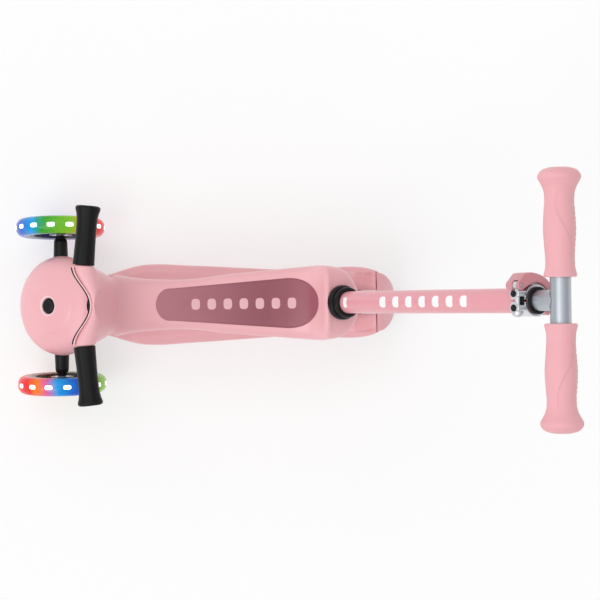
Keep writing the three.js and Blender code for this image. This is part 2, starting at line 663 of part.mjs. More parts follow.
function makeSeatShell() {
  const saddle = loft(seatStations.map(([x]) => seatSection(x)));
  const cavityXs = seatStations.map(([x]) => x).filter((x) => x > -52 && x < neckX - 5);
  const cavity = loft([neckX - 6, ...cavityXs].map((x) => seatSection(x, seatWall, 6)));
  const post = loft(columnStations.map(([z, back, front, half]) => roundedOutline(
    (front - back) / 2, half, 2.6, 16)
    .map(([x, y]) => new THREE.Vector3((front + back) / 2 + x, y, z))));
  const ys = [-1, -0.75, -0.5, -0.25, 0, 0.25, 0.5, 0.75, 1].map((t) => t * childBarHalfWidth);
  const crossbar = loft(ys.map((y) => roundedOutline(
    (barFront(y) - barBack(y)) / 2, crossHalfHeight, 2.4, 14)
    .map(([x, z]) => new THREE.Vector3((barFront(y) + barBack(y)) / 2 + x, y,
      childBarHeight + z))));
  const stub = (side) => turnedY(side > 0 ? rodProfile(9, -12, stubLength)
    : rodProfile(9, -stubLength, 12), 16, gripFrame(side));
  const boss = turnedZ([[0, -30], [15, -30], [17.5, -18], [23.4, -7], [23.4, -gap], [0, -gap]],
    24, barFrame);
  const screwBoss = (x) => turnedZ(
    rodProfile(5, 0, through(seatTops, x) - seatWall / 2), 12, frame(x, 0, 0, 0))
    .intersect(block(x - 9, x + 9, -9, 9, seatHeight - seatDepth + 4.5, seatHeight));
  const shell = join(cut(saddle, cavity), post, crossbar, stub(1), stub(-1), boss,
    ...seatScrewXs.map(screwBoss));
  const collarSeat = turnedZ(rodProfile(collarRadius + 1, 0, 60), 24, barFrame);
  const legRoom = turnedZ(rodProfile(legRadius - 1.4, -90, -30), 24, barFrame);
  return cut(shell, collarSeat, legRoom,
    turnedZ(rodProfile(tubeRadius + boreGap, -60, 30), 24, barFrame),
    turnedZ(rodProfile(stemRadius + boreGap, 0, stemTop + gap), 24, socketFrame),
    ...seatScrewXs.map((x) => turnedZ(
      rodProfile(2 + boreGap, 0, seatHeight - 14), 12, frame(x, 0, 0, 0))));
}

const seatScrewXs = [150, 22];
const stemTop = 74;

add(scooter, 'seat_shell', bodyPink, makeSeatShell());

// The lower cover closes the saddle and runs down round the T-bar to the deck.
function makeSeatUnderside() {
  const xs = [neckX - 20, ...seatStations.map(([x]) => x).filter((x) => x > -30 && x < neckX - 22)];
  const floor = loft(xs.map((x) => {
    const half = through(seatHalves, x) - seatWall - 6.5;
    const low = through(seatBottoms, x) + 0.8;
    return [[-half, low], [half, low], [half, low + 2.8], [-half, low + 2.8]]
      .map(([y, z]) => new THREE.Vector3(x, y, z));
  }));
  const down = (z) => -(barFootHeight - z) / Math.cos(barLean);
  const leg = turnedZ([[0, down(deckTop) - 20], [legRadius + 3, down(deckTop) - 20],
    [legRadius, down(deckTop + 50)], [legRadius - 2, -45], [legRadius - 2, -30 - gap],
    [0, -30 - gap]], 24, barFrame);
  const footX = barAxisX(deckTop + legFootHeight / 2);
  const foot = prismZ(roundedOutline(36, legRadius + 6, 2.6, 24).map(([x, y]) => [x + footX, y]),
    deckTop + 0.2, deckTop + legFootHeight);
  const above = block(-400, 400, -200, 200, deckTop + gap, 400);
  const bore = turnedZ(rodProfile(tubeRadius + boreGap, -400, 20), 24, barFrame);
  const screwHoles = seatScrewXs.map((x) => turnedZ(
    rodProfile(2 + boreGap, 0, seatHeight - 10), 12, frame(x, 0, 0, 0)));
  const latch = turnedX(rodProfile(releaseRadius + boreGap, 16, 40), frame(0, 0, releaseAt, 0), 1);
  const snapHole = turnedX(rodProfile(snapRadius + boreGap, 10, 40), frame(0, 0, snapAt, 0), -1);
  return cut(join(floor, leg, foot).intersect(above), bore, ...screwHoles, latch, snapHole);
}

// A rod profile turned about the bar frame's own X axis: side 1 points forward, -1 back.
function turnedX(profile, local, side) {
  const geometry = turnedGeometry(profile, 16).rotateZ(-side * Math.PI / 2);
  return solid(geometry.applyMatrix4(local).applyMatrix4(barFrame));
}

const releaseRadius = 6;
const releaseAt = -168;
const snapRadius = 4;
const snapAt = -110;

add(scooter, 'seat_underside', bodyPink, makeSeatUnderside());

for (const [name, x] of [['seat_screw_front', seatScrewXs[0]], ['seat_screw_rear', seatScrewXs[1]]]) {
  const low = through(seatBottoms, x) + 0.8;
  const screw = new THREE.Group();
  screw.position.set(x, 0, low);
  scooter.add(screw);
  add(screw, name, steel, turnedZ([[0, -3.2], [2.6, -3.2], [4, -2], [4, -gap], [2, -gap],
    [2, 18], [0, 18]], 12));
}

const padHalf = 0.338 * seatWidth;
const padTaper = 0.12 * seatWidth; // how much narrower the pad is near its front

function makePad() {
  const [front, back, widest] = [neckX - 55, -23, 16];
  const halfAt = (x) => {
    if (x >= widest) {
      const t = (x - widest) / (front - widest);
      const taper = padHalf - padTaper * Math.min(t / 0.88, 1);
      return taper * (t > 0.88 ? Math.sqrt(Math.max(1 - ((t - 0.88) / 0.12) ** 2, 0)) : 1);
    }
    const t = (widest - x) / (widest - back);
    return padHalf * Math.sqrt(Math.max(1 - t ** 2.4, 0));
  };
  const xs = [front - 0.6, front - 3, front - 9, front - 20, 120, 100, 65, 30, widest, 0, -10, -18,
    back + 2, back + 0.5];
  const rings = xs.map((x) => {
    const half = Math.max(halfAt(x), 1.5); // never quite a point at the ends
    const ys = [-1, -0.75, -0.4, 0, 0.4, 0.75, 1].map((t) => t * half);
    const low = ys.map((y) => new THREE.Vector3(x, y, seatSurface(x, y) + 0.7));
    const high = [...ys].reverse().map((y) => new THREE.Vector3(
      x, y * 0.985, seatSurface(x, y) + 0.7 + padThickness * (Math.abs(y) > 0.9 * half ? 0.6 : 1)));
    return [...low, ...high];
  });
  return loft(rings);
}

add(scooter, 'seat_pad', padRose, makePad());

// Black strip along the front of the crossbar.
function makeTrim() {
  const ys = [-0.96, -0.75, -0.5, -0.25, 0, 0.25, 0.5, 0.75, 0.96]
    .map((t) => t * childBarHalfWidth);
  return loft(ys.map((y) => {
    const x = barFront(y) + 1.0;
    return [[x, -8], [x + 1.6, -6], [x + 1.6, 6], [x, 8]]
      .map(([px, z]) => new THREE.Vector3(px, y, childBarHeight + z));
  }));
}

add(scooter, 'crossbar_trim', blackPlastic, makeTrim());

for (const [name, side] of [['left', 1], ['right', -1]]) {
  const grip = new THREE.Group();
  grip.position.set(gripRootX, side * (childBarHalfWidth + 1), childBarHeight);
  grip.rotation.z = side * gripSweep;
  scooter.add(grip);
  const bore = 9 + boreGap;
  const profile = [[bore, gap], [childGripRadius + 0.3, gap], [childGripRadius, 12],
    [childGripRadius - 0.6, 40], [childGripRadius, 60], [childGripRadius + 1.8, 68],
    [childGripRadius + 2.2, 71], [childGripRadius - 1, childGripLength], [0, childGripLength],
    [0, stubLength + gap], [bore, stubLength + gap]];
  add(grip, `${name}_child_grip`, blackRubber,
    turnedY([...profile].map(([r, h]) => [r, side * h]), 22));
}

add(socketGroup, 'front_stem', blackPlastic,
  turnedZ(ringProfile(stemRadius - 3, stemRadius, -45, stemTop), 24));
add(socketGroup, 'front_collar', blackPlastic, turnedZ([[stemRadius + boreGap, gap],
  [collarRadius, gap], [collarRadius, collarHeight - 2], [collarRadius - 2, collarHeight],
  [stemRadius + boreGap, collarHeight]], 28));

// ---------------------------------------------------------------- seat collar and T-bar

add(barGroup, 'seat_collar', blackPlastic, turnedZ([[tubeRadius + boreGap, gap],
  [collarRadius - 0.8, gap], [collarRadius, 1.5], [collarRadius, 7.2], [collarRadius - 2, 9.3],
  [tubeRadius + boreGap, 9.3]], 28));
add(barGroup, 'collar_ring', blackPlastic, turnedZ([[tubeRadius + boreGap, 9.3 + gap],
  [19.3, 9.3 + gap], [19.5, 15.6], [17.5, 17.6], [tubeRadius + boreGap, 17.6]], 28));

const tubeInner = tubeRadius - tubeWall;
function makeTube() {
  const tube = turnedZ(ringProfile(tubeInner, tubeRadius, -tubeBelowSeat, clampTop), 24);
  const hole = solid(turnedGeometry(rodProfile(snapRadius + boreGap, 0, 30), 16)
    .rotateZ(Math.PI / 2).translate(0, 0, snapAt));
  return cut(tube, hole);
}
add(barGroup, 't_bar_tube', barPink, makeTube());

const snap = new THREE.Group();
snap.position.z = snapAt;
barGroup.add(snap);
add(snap, 'snap_button', steel, solid(turnedGeometry([[0, 9], [snapRadius + 1.6, 9],
  [snapRadius + 1.6, 10.4], [snapRadius, 10.6], [snapRadius, 22.6], [2.6, 24.4], [0, 24.8]], 16)
  .rotateZ(Math.PI / 2)));

const release = new THREE.Group();
release.position.z = releaseAt;
barGroup.add(release);
add(release, 'seat_release_button', blackPlastic, solid(turnedGeometry([[0, 19.6],
  [releaseRadius, 19.6], [releaseRadius, 25.6], [releaseRadius - 1.2, 26.8], [0, 27.2]], 18)
  .rotateZ(-Math.PI / 2)));

// Clamp: a split collar with two ears in front, a bolt across them and a lever at its right end.
const clampInner = tubeRadius + 0.3;
const clampOuter = clampInner + clampWall;
const clampLow = clampTop - clampHeight;
const earOuter = 27.4;
const earLow = clampTop - 15;
const boltOut = 21.5;             // from the bar's axis to the clamp bolt
const boltAt = clampTop - 8;
const leverPivotY = -17;          // the lever turns here, beyond the right-hand ear
const leverRound = 5.6;           // round end of the lever about its pin
const leverClear = 2.2;           // between the clamp and the closed lever

function makeClamp() {
  const ring = turnedZ(ringProfile(clampInner, clampOuter, clampLow, clampTop - 0.5), 28);
  const ear = (side) => {
    const [low, high] = side > 0 ? [4.6, 11] : [-11, -4.6];
    return block(clampInner + 0.5, earOuter, low, high, earLow, clampTop - 0.5);
  };
  const slit = block(0, earOuter + 2, -1.4, 1.4, clampLow - 5, clampTop + 5);
  const bore = turnedZ(rodProfile(clampInner, clampLow - 5, clampTop + 5), 28);
  const bolt = turnedY(rodProfile(3 + boreGap, -20, 20), 14,
    new THREE.Matrix4().makeTranslation(boltOut, 0, boltAt));
  return cut(join(ring, ear(1), ear(-1)), bore, slit, bolt);
}
add(barGroup, 'clamp', aluminium, makeClamp());

const clampParts = new THREE.Group();
clampParts.position.set(boltOut, 0, boltAt);
barGroup.add(clampParts);
const eye = new THREE.Matrix4().makeTranslation(0, leverPivotY, 0);
add(clampParts, 'clamp_bolt', steel, cut(
  join(turnedY(rodProfile(3, leverPivotY + 1, 18), 14), turnedZ(rodProfile(4.8, -3, 3), 18, eye)),
  turnedZ(rodProfile(2 + boreGap, -10, 10), 14, eye)));
add(clampParts, 'clamp_nut', steel, turnedY([[3 + boreGap, 11 + gap], [6.4, 11 + gap],
  [6.4, 16], [5, 17.6], [3 + boreGap, 17.6]], 20));

add(barGroup, 'clamp_shim', blackPlastic, turnedZ([[innerTubeRadius + boreGap, clampTop + gap],
  [15.2, clampTop + gap], [15.2, clampTop + 2.6], [14.2, clampTop + 3.6],
  [innerTubeRadius + boreGap, clampTop + 3.6]], 28));

// The lever hugs the clamp from its pin, round the right side to the back.
const leverOutside = [[16, -30.4], [6, -31.4], [-8, -28.6], [-19, -22.4], [-26, -12],
  [-27.6, 0], [-24.6, 9.5], [-18.6, 17.2]];

function makeLever() {
  const inside = arc(0, 0, clampOuter + leverClear, 138, 303, 18);
  const nose = arc(boltOut, leverPivotY, leverRound, 120, -60, 10);
  const body = prismZ([...leverOutside, ...inside, ...nose], boltAt - 14, boltAt + 7);
  const pivot = new THREE.Matrix4().makeTranslation(boltOut, leverPivotY, boltAt);
  return cut(body, turnedZ(rodProfile(leverRound + 0.4, -3.4, 3.4), 20, pivot),
    turnedZ(rodProfile(2 + boreGap, -20, 20), 14, pivot));
}
add(barGroup, 'clamp_lever', leverRose, makeLever());
const leverPinGroup = new THREE.Group();
leverPinGroup.position.set(boltOut, leverPivotY, boltAt);
barGroup.add(leverPinGroup);
add(leverPinGroup, 'lever_pin', steel, turnedZ(rodProfile(2, -13.6, 6.6), 12));

// ---------------------------------------------------------------- handlebar

const innerWall = 1.6;
const handlebar = new THREE.Group();
handlebar.position.z = handlebarAt;
barGroup.add(handlebar);

function makeInnerTube() {
  const tube = turnedZ(ringProfile(innerTubeRadius - innerWall, innerTubeRadius,
    -innerTubeLength, 0), 24);
  return cut(tube, turnedY(rodProfile(crossTubeRadius + 0.3, -40, 40), 32));
}
add(handlebar, 'inner_tube', aluminium, makeInnerTube());
add(handlebar, 'inner_tube_guide', blackPlastic, turnedZ([[0, -innerTubeLength - 8],
  [innerTubeRadius + 0.4, -innerTubeLength - 8], [innerTubeRadius + 0.4, -innerTubeLength - gap],
  [innerTubeRadius - innerWall - boreGap, -innerTubeLength - gap],
  [innerTubeRadius - innerWall - boreGap, -innerTubeLength + 12], [0, -innerTubeLength + 12]], 20));

const crossHalf = gripInnerEnd + gripLength - 8;
add(handlebar, 'cross_tube', aluminium,
  turnedY(ringProfile(crossTubeRadius - innerWall, crossTubeRadius, -crossHalf, crossHalf), 24));

// Grip radius along its length, from the inner collar to the bulb at the end.
const gripShape = [[0, gripBodyRadius + 1], [3, gripBodyRadius + 1.6], [8, gripBodyRadius],
  [16, gripBodyRadius - 0.3], [32, gripBodyRadius + 0.6], [52, gripBodyRadius + 1.8],
  [70, gripBodyRadius + 0.8], [86, gripBodyRadius], [96, gripBodyRadius + 1.2],
  [103, gripBodyRadius + 4.4], [108.5, gripEndRadius], [112.5, gripEndRadius - 1],
  [116.5, gripEndRadius - 6]];
for (const [name, side] of [['left', 1], ['right', -1]]) {
  const bore = crossTubeRadius + boreGap;
  const stretch = gripLength / 119;
  const outer = gripShape.map(([h, r]) => [r, gripInnerEnd + h * stretch]);
  const profile = [[bore, gripInnerEnd], ...outer, [0, gripInnerEnd + gripLength],
    [0, crossHalf + gap], [bore, crossHalf + gap]];
  add(handlebar, `${name}_grip`, gripRubber,
    turnedY([...profile].map(([r, h]) => [r, side * h]), 24));
}

export default scooter;
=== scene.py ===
# %% [markdown]
# A convertible toddler scooter, seen from straight above. The solids that move are packed as a
# fixed frame, and this lesson builds the looks round them: fine moulded shells, turned tubes and
# tyres, soft grips, paint and lights. Everything is in metres, in the frame's own coordinates:
# +X is the way the scooter rides, +Y the rider's left, +Z up, with the floor at zero.

import json
import math

import bmesh
import bpy
import numpy as np
from mathutils import Matrix, Vector
from mathutils.bvhtree import BVHTree


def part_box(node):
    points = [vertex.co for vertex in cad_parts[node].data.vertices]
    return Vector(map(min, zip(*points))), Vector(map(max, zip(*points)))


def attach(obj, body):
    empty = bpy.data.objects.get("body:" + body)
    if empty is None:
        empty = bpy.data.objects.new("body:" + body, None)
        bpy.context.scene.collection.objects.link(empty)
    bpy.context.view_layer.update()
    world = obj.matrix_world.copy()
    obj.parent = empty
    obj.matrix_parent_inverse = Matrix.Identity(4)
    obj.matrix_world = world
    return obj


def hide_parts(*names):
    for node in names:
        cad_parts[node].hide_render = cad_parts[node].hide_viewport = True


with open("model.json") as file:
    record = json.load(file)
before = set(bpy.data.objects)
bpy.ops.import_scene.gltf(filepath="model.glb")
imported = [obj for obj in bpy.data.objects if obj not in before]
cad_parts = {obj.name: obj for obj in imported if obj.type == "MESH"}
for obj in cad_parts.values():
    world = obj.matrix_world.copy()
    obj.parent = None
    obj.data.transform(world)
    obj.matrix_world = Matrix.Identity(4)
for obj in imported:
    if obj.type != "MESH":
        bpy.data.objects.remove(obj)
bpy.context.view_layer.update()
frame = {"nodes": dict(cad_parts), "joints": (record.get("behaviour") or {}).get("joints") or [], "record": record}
nodes = frame["nodes"]
joints = {j["name"]: j for j in frame["joints"]}
MM = 0.001

# %% [markdown]
# Most pieces are round about some axis of the real scooter: the leaning steering head, the
# raked push bar, the wheels. Each gets a local frame, a matrix that carries a shape drawn
# upright in millimetres to its place. The joints of the record say where those axes are.

# %% Frames of the axes
def axis_frame(place, direction, sideways=(0, 1, 0)):
    """A matrix whose local Z runs along direction, with local Y kept sideways, scaled from mm."""
    z = Vector(direction).normalized()
    y = Vector(sideways)
    y = (y - z * y.dot(z)).normalized()
    x = y.cross(z)
    turned = Matrix((x, y, z)).transposed().to_4x4()
    return Matrix.Translation(Vector(place)) @ turned @ Matrix.Scale(MM, 4)


rear_axle = Vector(joints["rear_wheel_spin"]["pos_m"])
saddle_origin = rear_axle.x + 82 * MM
head = axis_frame(joints["lean_steer"]["pos_m"], joints["lean_steer"]["axis"])
bar_axis = Vector(joints["handlebar_height"]["axis"])
cross_low, cross_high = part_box("cross_tube")
cross_middle = (cross_low + cross_high) / 2
HANDLEBAR_AT = 401
bar = axis_frame(cross_middle - bar_axis * HANDLEBAR_AT * MM, bar_axis)
upright = Matrix.Translation((saddle_origin, 0, 0)) @ Matrix.Scale(MM, 4)
lean = math.radians(10)
socket = axis_frame((saddle_origin + 262 * MM, 0, 125 * MM), (-math.sin(lean), 0, math.cos(lean)))
print("bar foot at", [round(v, 4) for v in bar.translation], "head at",
      [round(v, 4) for v in head.translation])

# %% [markdown]
# A few small mesh helpers do nearly all the shaping. Turning a profile gives tubes, tyres and
# knobs; rounding the profile's corners first gives the soft edges that catch the light. Lofting
# rings gives the moulded shells. Booleans cut bores and slots, and a voxel remesh followed by
# smoothing melts several lofts into one moulding, with fillets where they meet.

# %% Mesh helpers
ON_AXIS = 1e-6  # a radius below this lies on the axis


def new_object(name, mesh, smooth_angle=40):
    """A scene object round a mesh, smooth except over edges sharper than smooth_angle degrees."""
    mesh.shade_smooth()
    mesh.set_sharp_from_angle(angle=math.radians(smooth_angle))
    made = bpy.data.objects.new(name, mesh)
    bpy.context.scene.collection.objects.link(made)
    return made


def round_corners(profile, radius, steps=4, closed=True):
    """The profile with each corner turned into a small arc."""
    points = [np.array(p, float) for p in profile]
    count = len(points)
    out = []
    for i, corner in enumerate(points):
        if not closed and i in (0, count - 1) or corner[0] < ON_AXIS:
            out.append(corner)
            continue
        before = points[i - 1] - corner
        after = points[(i + 1) % count] - corner
        reach = min(radius, 0.45 * np.linalg.norm(before), 0.45 * np.linalg.norm(after))
        a = corner + before / np.linalg.norm(before) * reach
        b = corner + after / np.linalg.norm(after) * reach
        for k in range(steps + 1):
            t = k / steps
            out.append((1 - t) ** 2 * a + 2 * t * (1 - t) * corner + t ** 2 * b)
    return [tuple(p) for p in out]


def bridged(mesh, low, high):
    """Faces between two rings of equally many points, or from a ring to a single point."""
    count = max(len(low), len(high))
    for k in range(count):
        n = (k + 1) % count
        if len(low) == 1:
            mesh.faces.new((low[0], high[n], high[k]))
        elif len(high) == 1:
            mesh.faces.new((low[k], low[n], high[0]))
        else:
            mesh.faces.new((low[k], low[n], high[n], high[k]))


def turned(name, profile, place, segments=96, corner=0.0, smooth_angle=40, shape=None):
    """A profile of (radius, height) turned about local Z. shape may move each point (r, h, angle)."""
    solid = profile[0][0] < ON_AXIS and profile[-1][0] < ON_AXIS
    if corner:
        profile = round_corners(profile, corner, closed=not solid)
    mesh = bmesh.new()
    rings = []
    for r, h in profile:
        if r < ON_AXIS:
            rings.append([mesh.verts.new((0, 0, h))])
            continue
        ring = []
        for k in range(segments):
            angle = 2 * math.pi * k / segments
            radius, height = shape(r, h, angle) if shape else (r, h)
            ring.append(mesh.verts.new((radius * math.cos(angle), radius * math.sin(angle), height)))
        rings.append(ring)
    pairs = list(zip(rings, rings[1:])) + ([] if solid else [(rings[-1], rings[0])])
    for low, high in pairs:
        if len(low) + len(high) > 2:
            bridged(mesh, low, high)
    return finish_mesh(name, mesh, place, smooth_angle)


def rod(name, radius, low, high, place, segments=48):
    """A plain cylinder between two heights, mostly for cutting bores."""
    return turned(name, [(0, low), (radius, low), (radius, high), (0, high)], place, segments)


def finish_mesh(name, mesh, place, smooth_angle=40):
    """Turns a bmesh drawn in local millimetres into an object in the scene's metres."""
    mesh.transform(place)
    bmesh.ops.recalc_face_normals(mesh, faces=mesh.faces)
    data = bpy.data.meshes.new(name)
    mesh.to_mesh(data)
    mesh.free()
    return new_object(name, data, smooth_angle)


def lofted(name, rings, place, smooth_angle=40):
    """A closed skin through rings of equally many points, capped at both ends."""
    mesh = bmesh.new()
    made = [[mesh.verts.new(p) for p in ring] for ring in rings]
    for low, high in zip(made, made[1:]):
        bridged(mesh, low, high)
    for ring in (made[0], made[-1]):
        middle = mesh.verts.new(sum((v.co for v in ring), Vector()) / len(ring))
        bridged(mesh, ring, [middle])
    return finish_mesh(name, mesh, place, smooth_angle)


def applied(made, smooth_angle=40):
    """Bakes an object's modifiers into its mesh."""
    graph = bpy.context.evaluated_depsgraph_get()
    data = bpy.data.meshes.new_from_object(made.evaluated_get(graph))
    made.modifiers.clear()
    old = made.data
    made.data = data
    bpy.data.meshes.remove(old)
    data.shade_smooth()
    data.set_sharp_from_angle(angle=math.radians(smooth_angle))
    return made


def combine(made, tools, operation, smooth_angle=40):
    """Joins to, or cuts from, an object each of the tool objects, which are used up."""
    for tool in tools:
        change = made.modifiers.new("change", "BOOLEAN")
        change.operation = operation
        change.object = tool
        change.solver = "EXACT"
    applied(made, smooth_angle)
    for tool in tools:
        bpy.data.objects.remove(tool)
    return made


def gathered(made, others):
    """Puts other objects' skins into one object as they are, overlapping, for a remesh to merge."""
    mesh = bmesh.new()
    for piece in [made] + others:
        mesh.from_mesh(piece.data)
    mesh.to_mesh(made.data)
    mesh.free()
    for piece in others:
        bpy.data.objects.remove(piece)
    return made


def melted(made, voxel, rounds, smooth_angle=60):
    """One even skin of the given voxel size in mm, smoothed so that lofts flow together."""
    remesh = made.modifiers.new("remesh", "REMESH")
    remesh.mode = "VOXEL"
    remesh.voxel_size = voxel * MM
    soften = made.modifiers.new("soften", "SMOOTH")
    soften.factor = 0.5
    soften.iterations = rounds
    return applied(made, smooth_angle)


def bevelled(made, width, segments=3, angle=35, smooth_angle=40):
    """Rounds every edge sharper than angle degrees by width mm."""
    bevel = made.modifiers.new("bevel", "BEVEL")
    bevel.width = width * MM
    bevel.segments = segments
    bevel.limit_method = "ANGLE"
    bevel.angle_limit = math.radians(angle)
    return applied(made, smooth_angle)


def through(stations, x):
    """Smooth value at x through (x, value...) stations, by cubic Hermite pieces."""
    rows = sorted(stations)
    xs = np.array([row[0] for row in rows], float)
    values = np.array([row[1:] for row in rows], float)
    slopes = np.gradient(values, xs, axis=0)
    x = min(max(x, xs[0]), xs[-1])
    i = min(max(int(np.searchsorted(xs, x)) - 1, 0), len(xs) - 2)
    span = xs[i + 1] - xs[i]
    t = (x - xs[i]) / span
    h = ((1 + 2 * t) * (1 - t) ** 2, t * (1 - t) ** 2, t * t * (3 - 2 * t), t * t * (t - 1))
    out = h[0] * values[i] + h[1] * span * slopes[i] + h[2] * values[i + 1] + h[3] * span * slopes[i + 1]
    return out if len(out) > 1 else float(out[0])


def rounded_outline(a, b, squareness, count):
    """Points of a rounded box outline of half sizes a and b."""
    out = []
    for k in range(count):
        t = 2 * math.pi * k / count
        c, s = math.cos(t), math.sin(t)
        out.append((a * math.copysign(abs(c) ** (2 / squareness), c),
                    b * math.copysign(abs(s) ** (2 / squareness), s)))
    return out


def spread(low, high, count):
    """Evenly spaced values, both ends included."""
    return [low + (high - low) * k / (count - 1) for k in range(count)]


def circle(cx, cy, radius, start, stop, steps):
    """Points of an arc between two angles in degrees."""
    angles = [math.radians(a) for a in spread(start, stop, steps + 1)]
    return [(cx + radius * math.cos(a), cy + radius * math.sin(a)) for a in angles]


def mirrored(rows):
    """The upper half of a closed lathe profile, and its mirror image below."""
    return [(r, -h) for r, h in rows] + rows[::-1]


def shifted(place, x, y, z):
    """A frame moved by x, y, z along its own axes."""
    return place @ Matrix.Translation((x, y, z))


# %% [markdown]
# Shader maths reads best as arithmetic. A wrapped socket adds the Math nodes behind an
# expression such as 0.3 + scuffs * 0.2, and one method adds any other node.

# %% A small shader language
class Value:
    """A number socket that arithmetic can be done on."""

    def __init__(self, finish, socket):
        self.finish, self.socket = finish, socket

    def _math(self, operation, *others):
        node = self.finish.tree.nodes.new("ShaderNodeMath")
        node.operation = operation
        for slot, value in zip(node.inputs, others):
            self.finish.feed(slot, value)
        return Value(self.finish, node.outputs[0])

    def __add__(self, other):
        return self._math("ADD", self, other)

    __radd__ = __add__

    def __sub__(self, other):
        return self._math("SUBTRACT", self, other)

    def __mul__(self, other):
        return self._math("MULTIPLY", self, other)

    def power(self, other):
        return self._math("POWER", self, other)


class Finish:
    """A material whose surface is one Principled shader."""

    def __init__(self, name, **constants):
        self.material = bpy.data.materials.new(name)
        self.material.use_nodes = True
        self.tree = self.material.node_tree
        self.surface = self.tree.nodes["Principled BSDF"]
        for key, value in constants.items():
            self.surface.inputs[key.replace("_", " ")].default_value = value

    def feed(self, slot, value):
        if isinstance(value, Value):
            self.tree.links.new(value.socket, slot)
        else:
            slot.default_value = value

    def node(self, kind, output=0, inputs=None, stops=None, **settings):
        """Adds a node: its settings first, then its inputs by name or number."""
        made = self.tree.nodes.new("ShaderNode" + kind)
        for key, value in settings.items():
            setattr(made, key, value)
        if stops:
            ramp = made.color_ramp
            while len(ramp.elements) < len(stops):
                ramp.elements.new(0.5)
            for element, (place, color) in zip(ramp.elements, stops):
                element.position = place
                element.color = (*color, 1)
        for key, value in (inputs or {}).items():
            self.feed(made.inputs[key], value)
        return Value(self, made.outputs[output])

    def place(self):
        """Object coordinates: they stay with the piece as it moves."""
        return self.node("TexCoord", output="Object")

    def noise(self, scale, detail=3.0, roughness=0.55, vector=None):
        return self.node("TexNoise", inputs={
            "Vector": vector or self.place(), "Scale": scale, "Detail": detail,
            "Roughness": roughness})

    def band(self, value, low, high, start=0.0, end=1.0):
        """value carried from low..high to start..end, held at the ends."""
        return self.node("MapRange", inputs={
            "Value": value, "From Min": low, "From Max": high, "To Min": start, "To Max": end})

    def mix(self, share, a, b):
        """Colour a where share is 0, and b where it is 1. Sockets 6, 7 and 2 are the colours."""
        a, b = [c if isinstance(c, Value) else (*c, 1) for c in (a, b)]
        return self.node("Mix", output=2, inputs={0: share, 6: a, 7: b}, data_type="RGBA")

    def set(self, **sockets):
        for key, value in sockets.items():
            self.feed(self.surface.inputs[key.replace("_", " ")], value)

    def bump(self, height, strength, distance):
        made = self.node("Bump", inputs={
            "Height": height, "Strength": strength, "Distance": distance})
        self.set(Normal=made)


def colour(code):
    """Linear colour of a six-figure screen colour."""
    parts = [int(code[i:i + 2], 16) / 255 for i in (0, 2, 4)]
    return tuple(v / 12.92 if v <= 0.04045 else ((v + 0.055) / 1.055) ** 2.4 for v in parts)


# %% [markdown]
# The body is satin injection-moulded plastic. Real mouldings are never one flat colour: the
# texture of the tool leaves a fine orange peel, the surface is a little cloudy, and handling
# adds faint scuffs that show more in the gloss than in the colour. One function makes them all,
# because only the colours, the gloss and the grain differ from plastic to plastic.

# %% Moulded plastics
def moulded(name, base, shade, roughness=0.34, grain=900.0, depth=0.00003, scuffs=0.12, coat=0.15,
            shine=0.5):
    finish = Finish(name, Coat_Roughness=0.2, IOR=1.46, Specular_IOR_Level=shine)
    clouds = finish.band(finish.noise(22.0, 4.0), 0.35, 0.7)
    fine = finish.noise(grain, 2.0, 0.6)
    marks = finish.band(finish.noise(140.0, 8.0, 0.72), 0.6, 0.74)
    tint = finish.mix(clouds * 0.35, base, shade)
    finish.set(Base_Color=finish.mix(marks * 0.06, tint, tuple(min(1, c * 1.25) for c in base)),
               Roughness=roughness + marks * scuffs + fine * 0.05)
    finish.surface.inputs["Coat Weight"].default_value = coat
    finish.bump(fine, 0.35, depth)
    return finish.material


pink = moulded("pink_moulding", colour("F1B6BC"), colour("EDA9B1"))
paint = moulded("pink_paint", colour("E99FA9"), colour("E495A1"), roughness=0.28, grain=420.0,
                depth=0.000008, scuffs=0.1, coat=0.4)
# Painted highlight: a paler pink for the rounded lips on the nose and the crossbar, where they catch the light.
lip_highlight = moulded("lip_highlight", colour("FAD6DA"), colour("F6C9CF"), roughness=0.3)
grip_pink = moulded("grip_rubber", colour("EFB0B6"), colour("EAA5AC"), roughness=0.5, grain=1500.0,
                    depth=0.00006, coat=0.0)
pad_light = moulded("pad_dashes", colour("E7B4BB"), colour("DFA6AE"), roughness=0.45)
lever_rose = moulded("rose_lever", colour("D6949C"), colour("CA828C"), roughness=0.3, coat=0.3)
black = moulded("black_moulding", colour("0D0F10"), colour("08090A"), roughness=0.36, coat=0.0,
                scuffs=0.06, shine=0.3)
black_rubber = moulded("black_rubber", colour("0E0F10"), colour("090A0A"), roughness=0.42,
                       grain=1600.0, depth=0.00006, coat=0.0, scuffs=0.06, shine=0.25)
white_print = moulded("white_print", colour("FBFBFB"), colour("F0F0F2"), roughness=0.35)
print("plastics ready")

# %% [markdown]
# The saddle's pad is soft rose plastic. Its colour is painted lighter towards the front and again
# at the back, a painted sheen where its glossy slopes catch the light, and a fine leathery grain
# breaks up the gloss.

# %% Pad, metals and rubber
def pad_finish():
    finish = Finish("rose_pad", Roughness=0.42, Coat_Weight=0.1, Coat_Roughness=0.3)
    x = finish.node("SeparateXYZ", inputs={"Vector": finish.place()})
    # Painted sheen: the pad is coloured lighter towards its front, and lighter again towards its back, for light
    # that the glossy pad reflects.
    along = finish.band(x, saddle_origin + 40 * MM, saddle_origin + 190 * MM)
    rear = finish.band(x, saddle_origin + 60 * MM, saddle_origin - 25 * MM)
    front_sheen = finish.mix(along, colour("8A4452"), colour("BC7A85"))
    tint = finish.mix(rear * 0.7, front_sheen, colour("AC6271"))
    grain = finish.noise(1100.0, 4.0, 0.65)
    finish.set(Base_Color=finish.mix(finish.noise(35.0) * 0.25, tint, colour("7C3D4A")),
               Roughness=0.38 + grain * 0.12)
    finish.bump(grain, 0.5, 0.00008)
    return finish.material


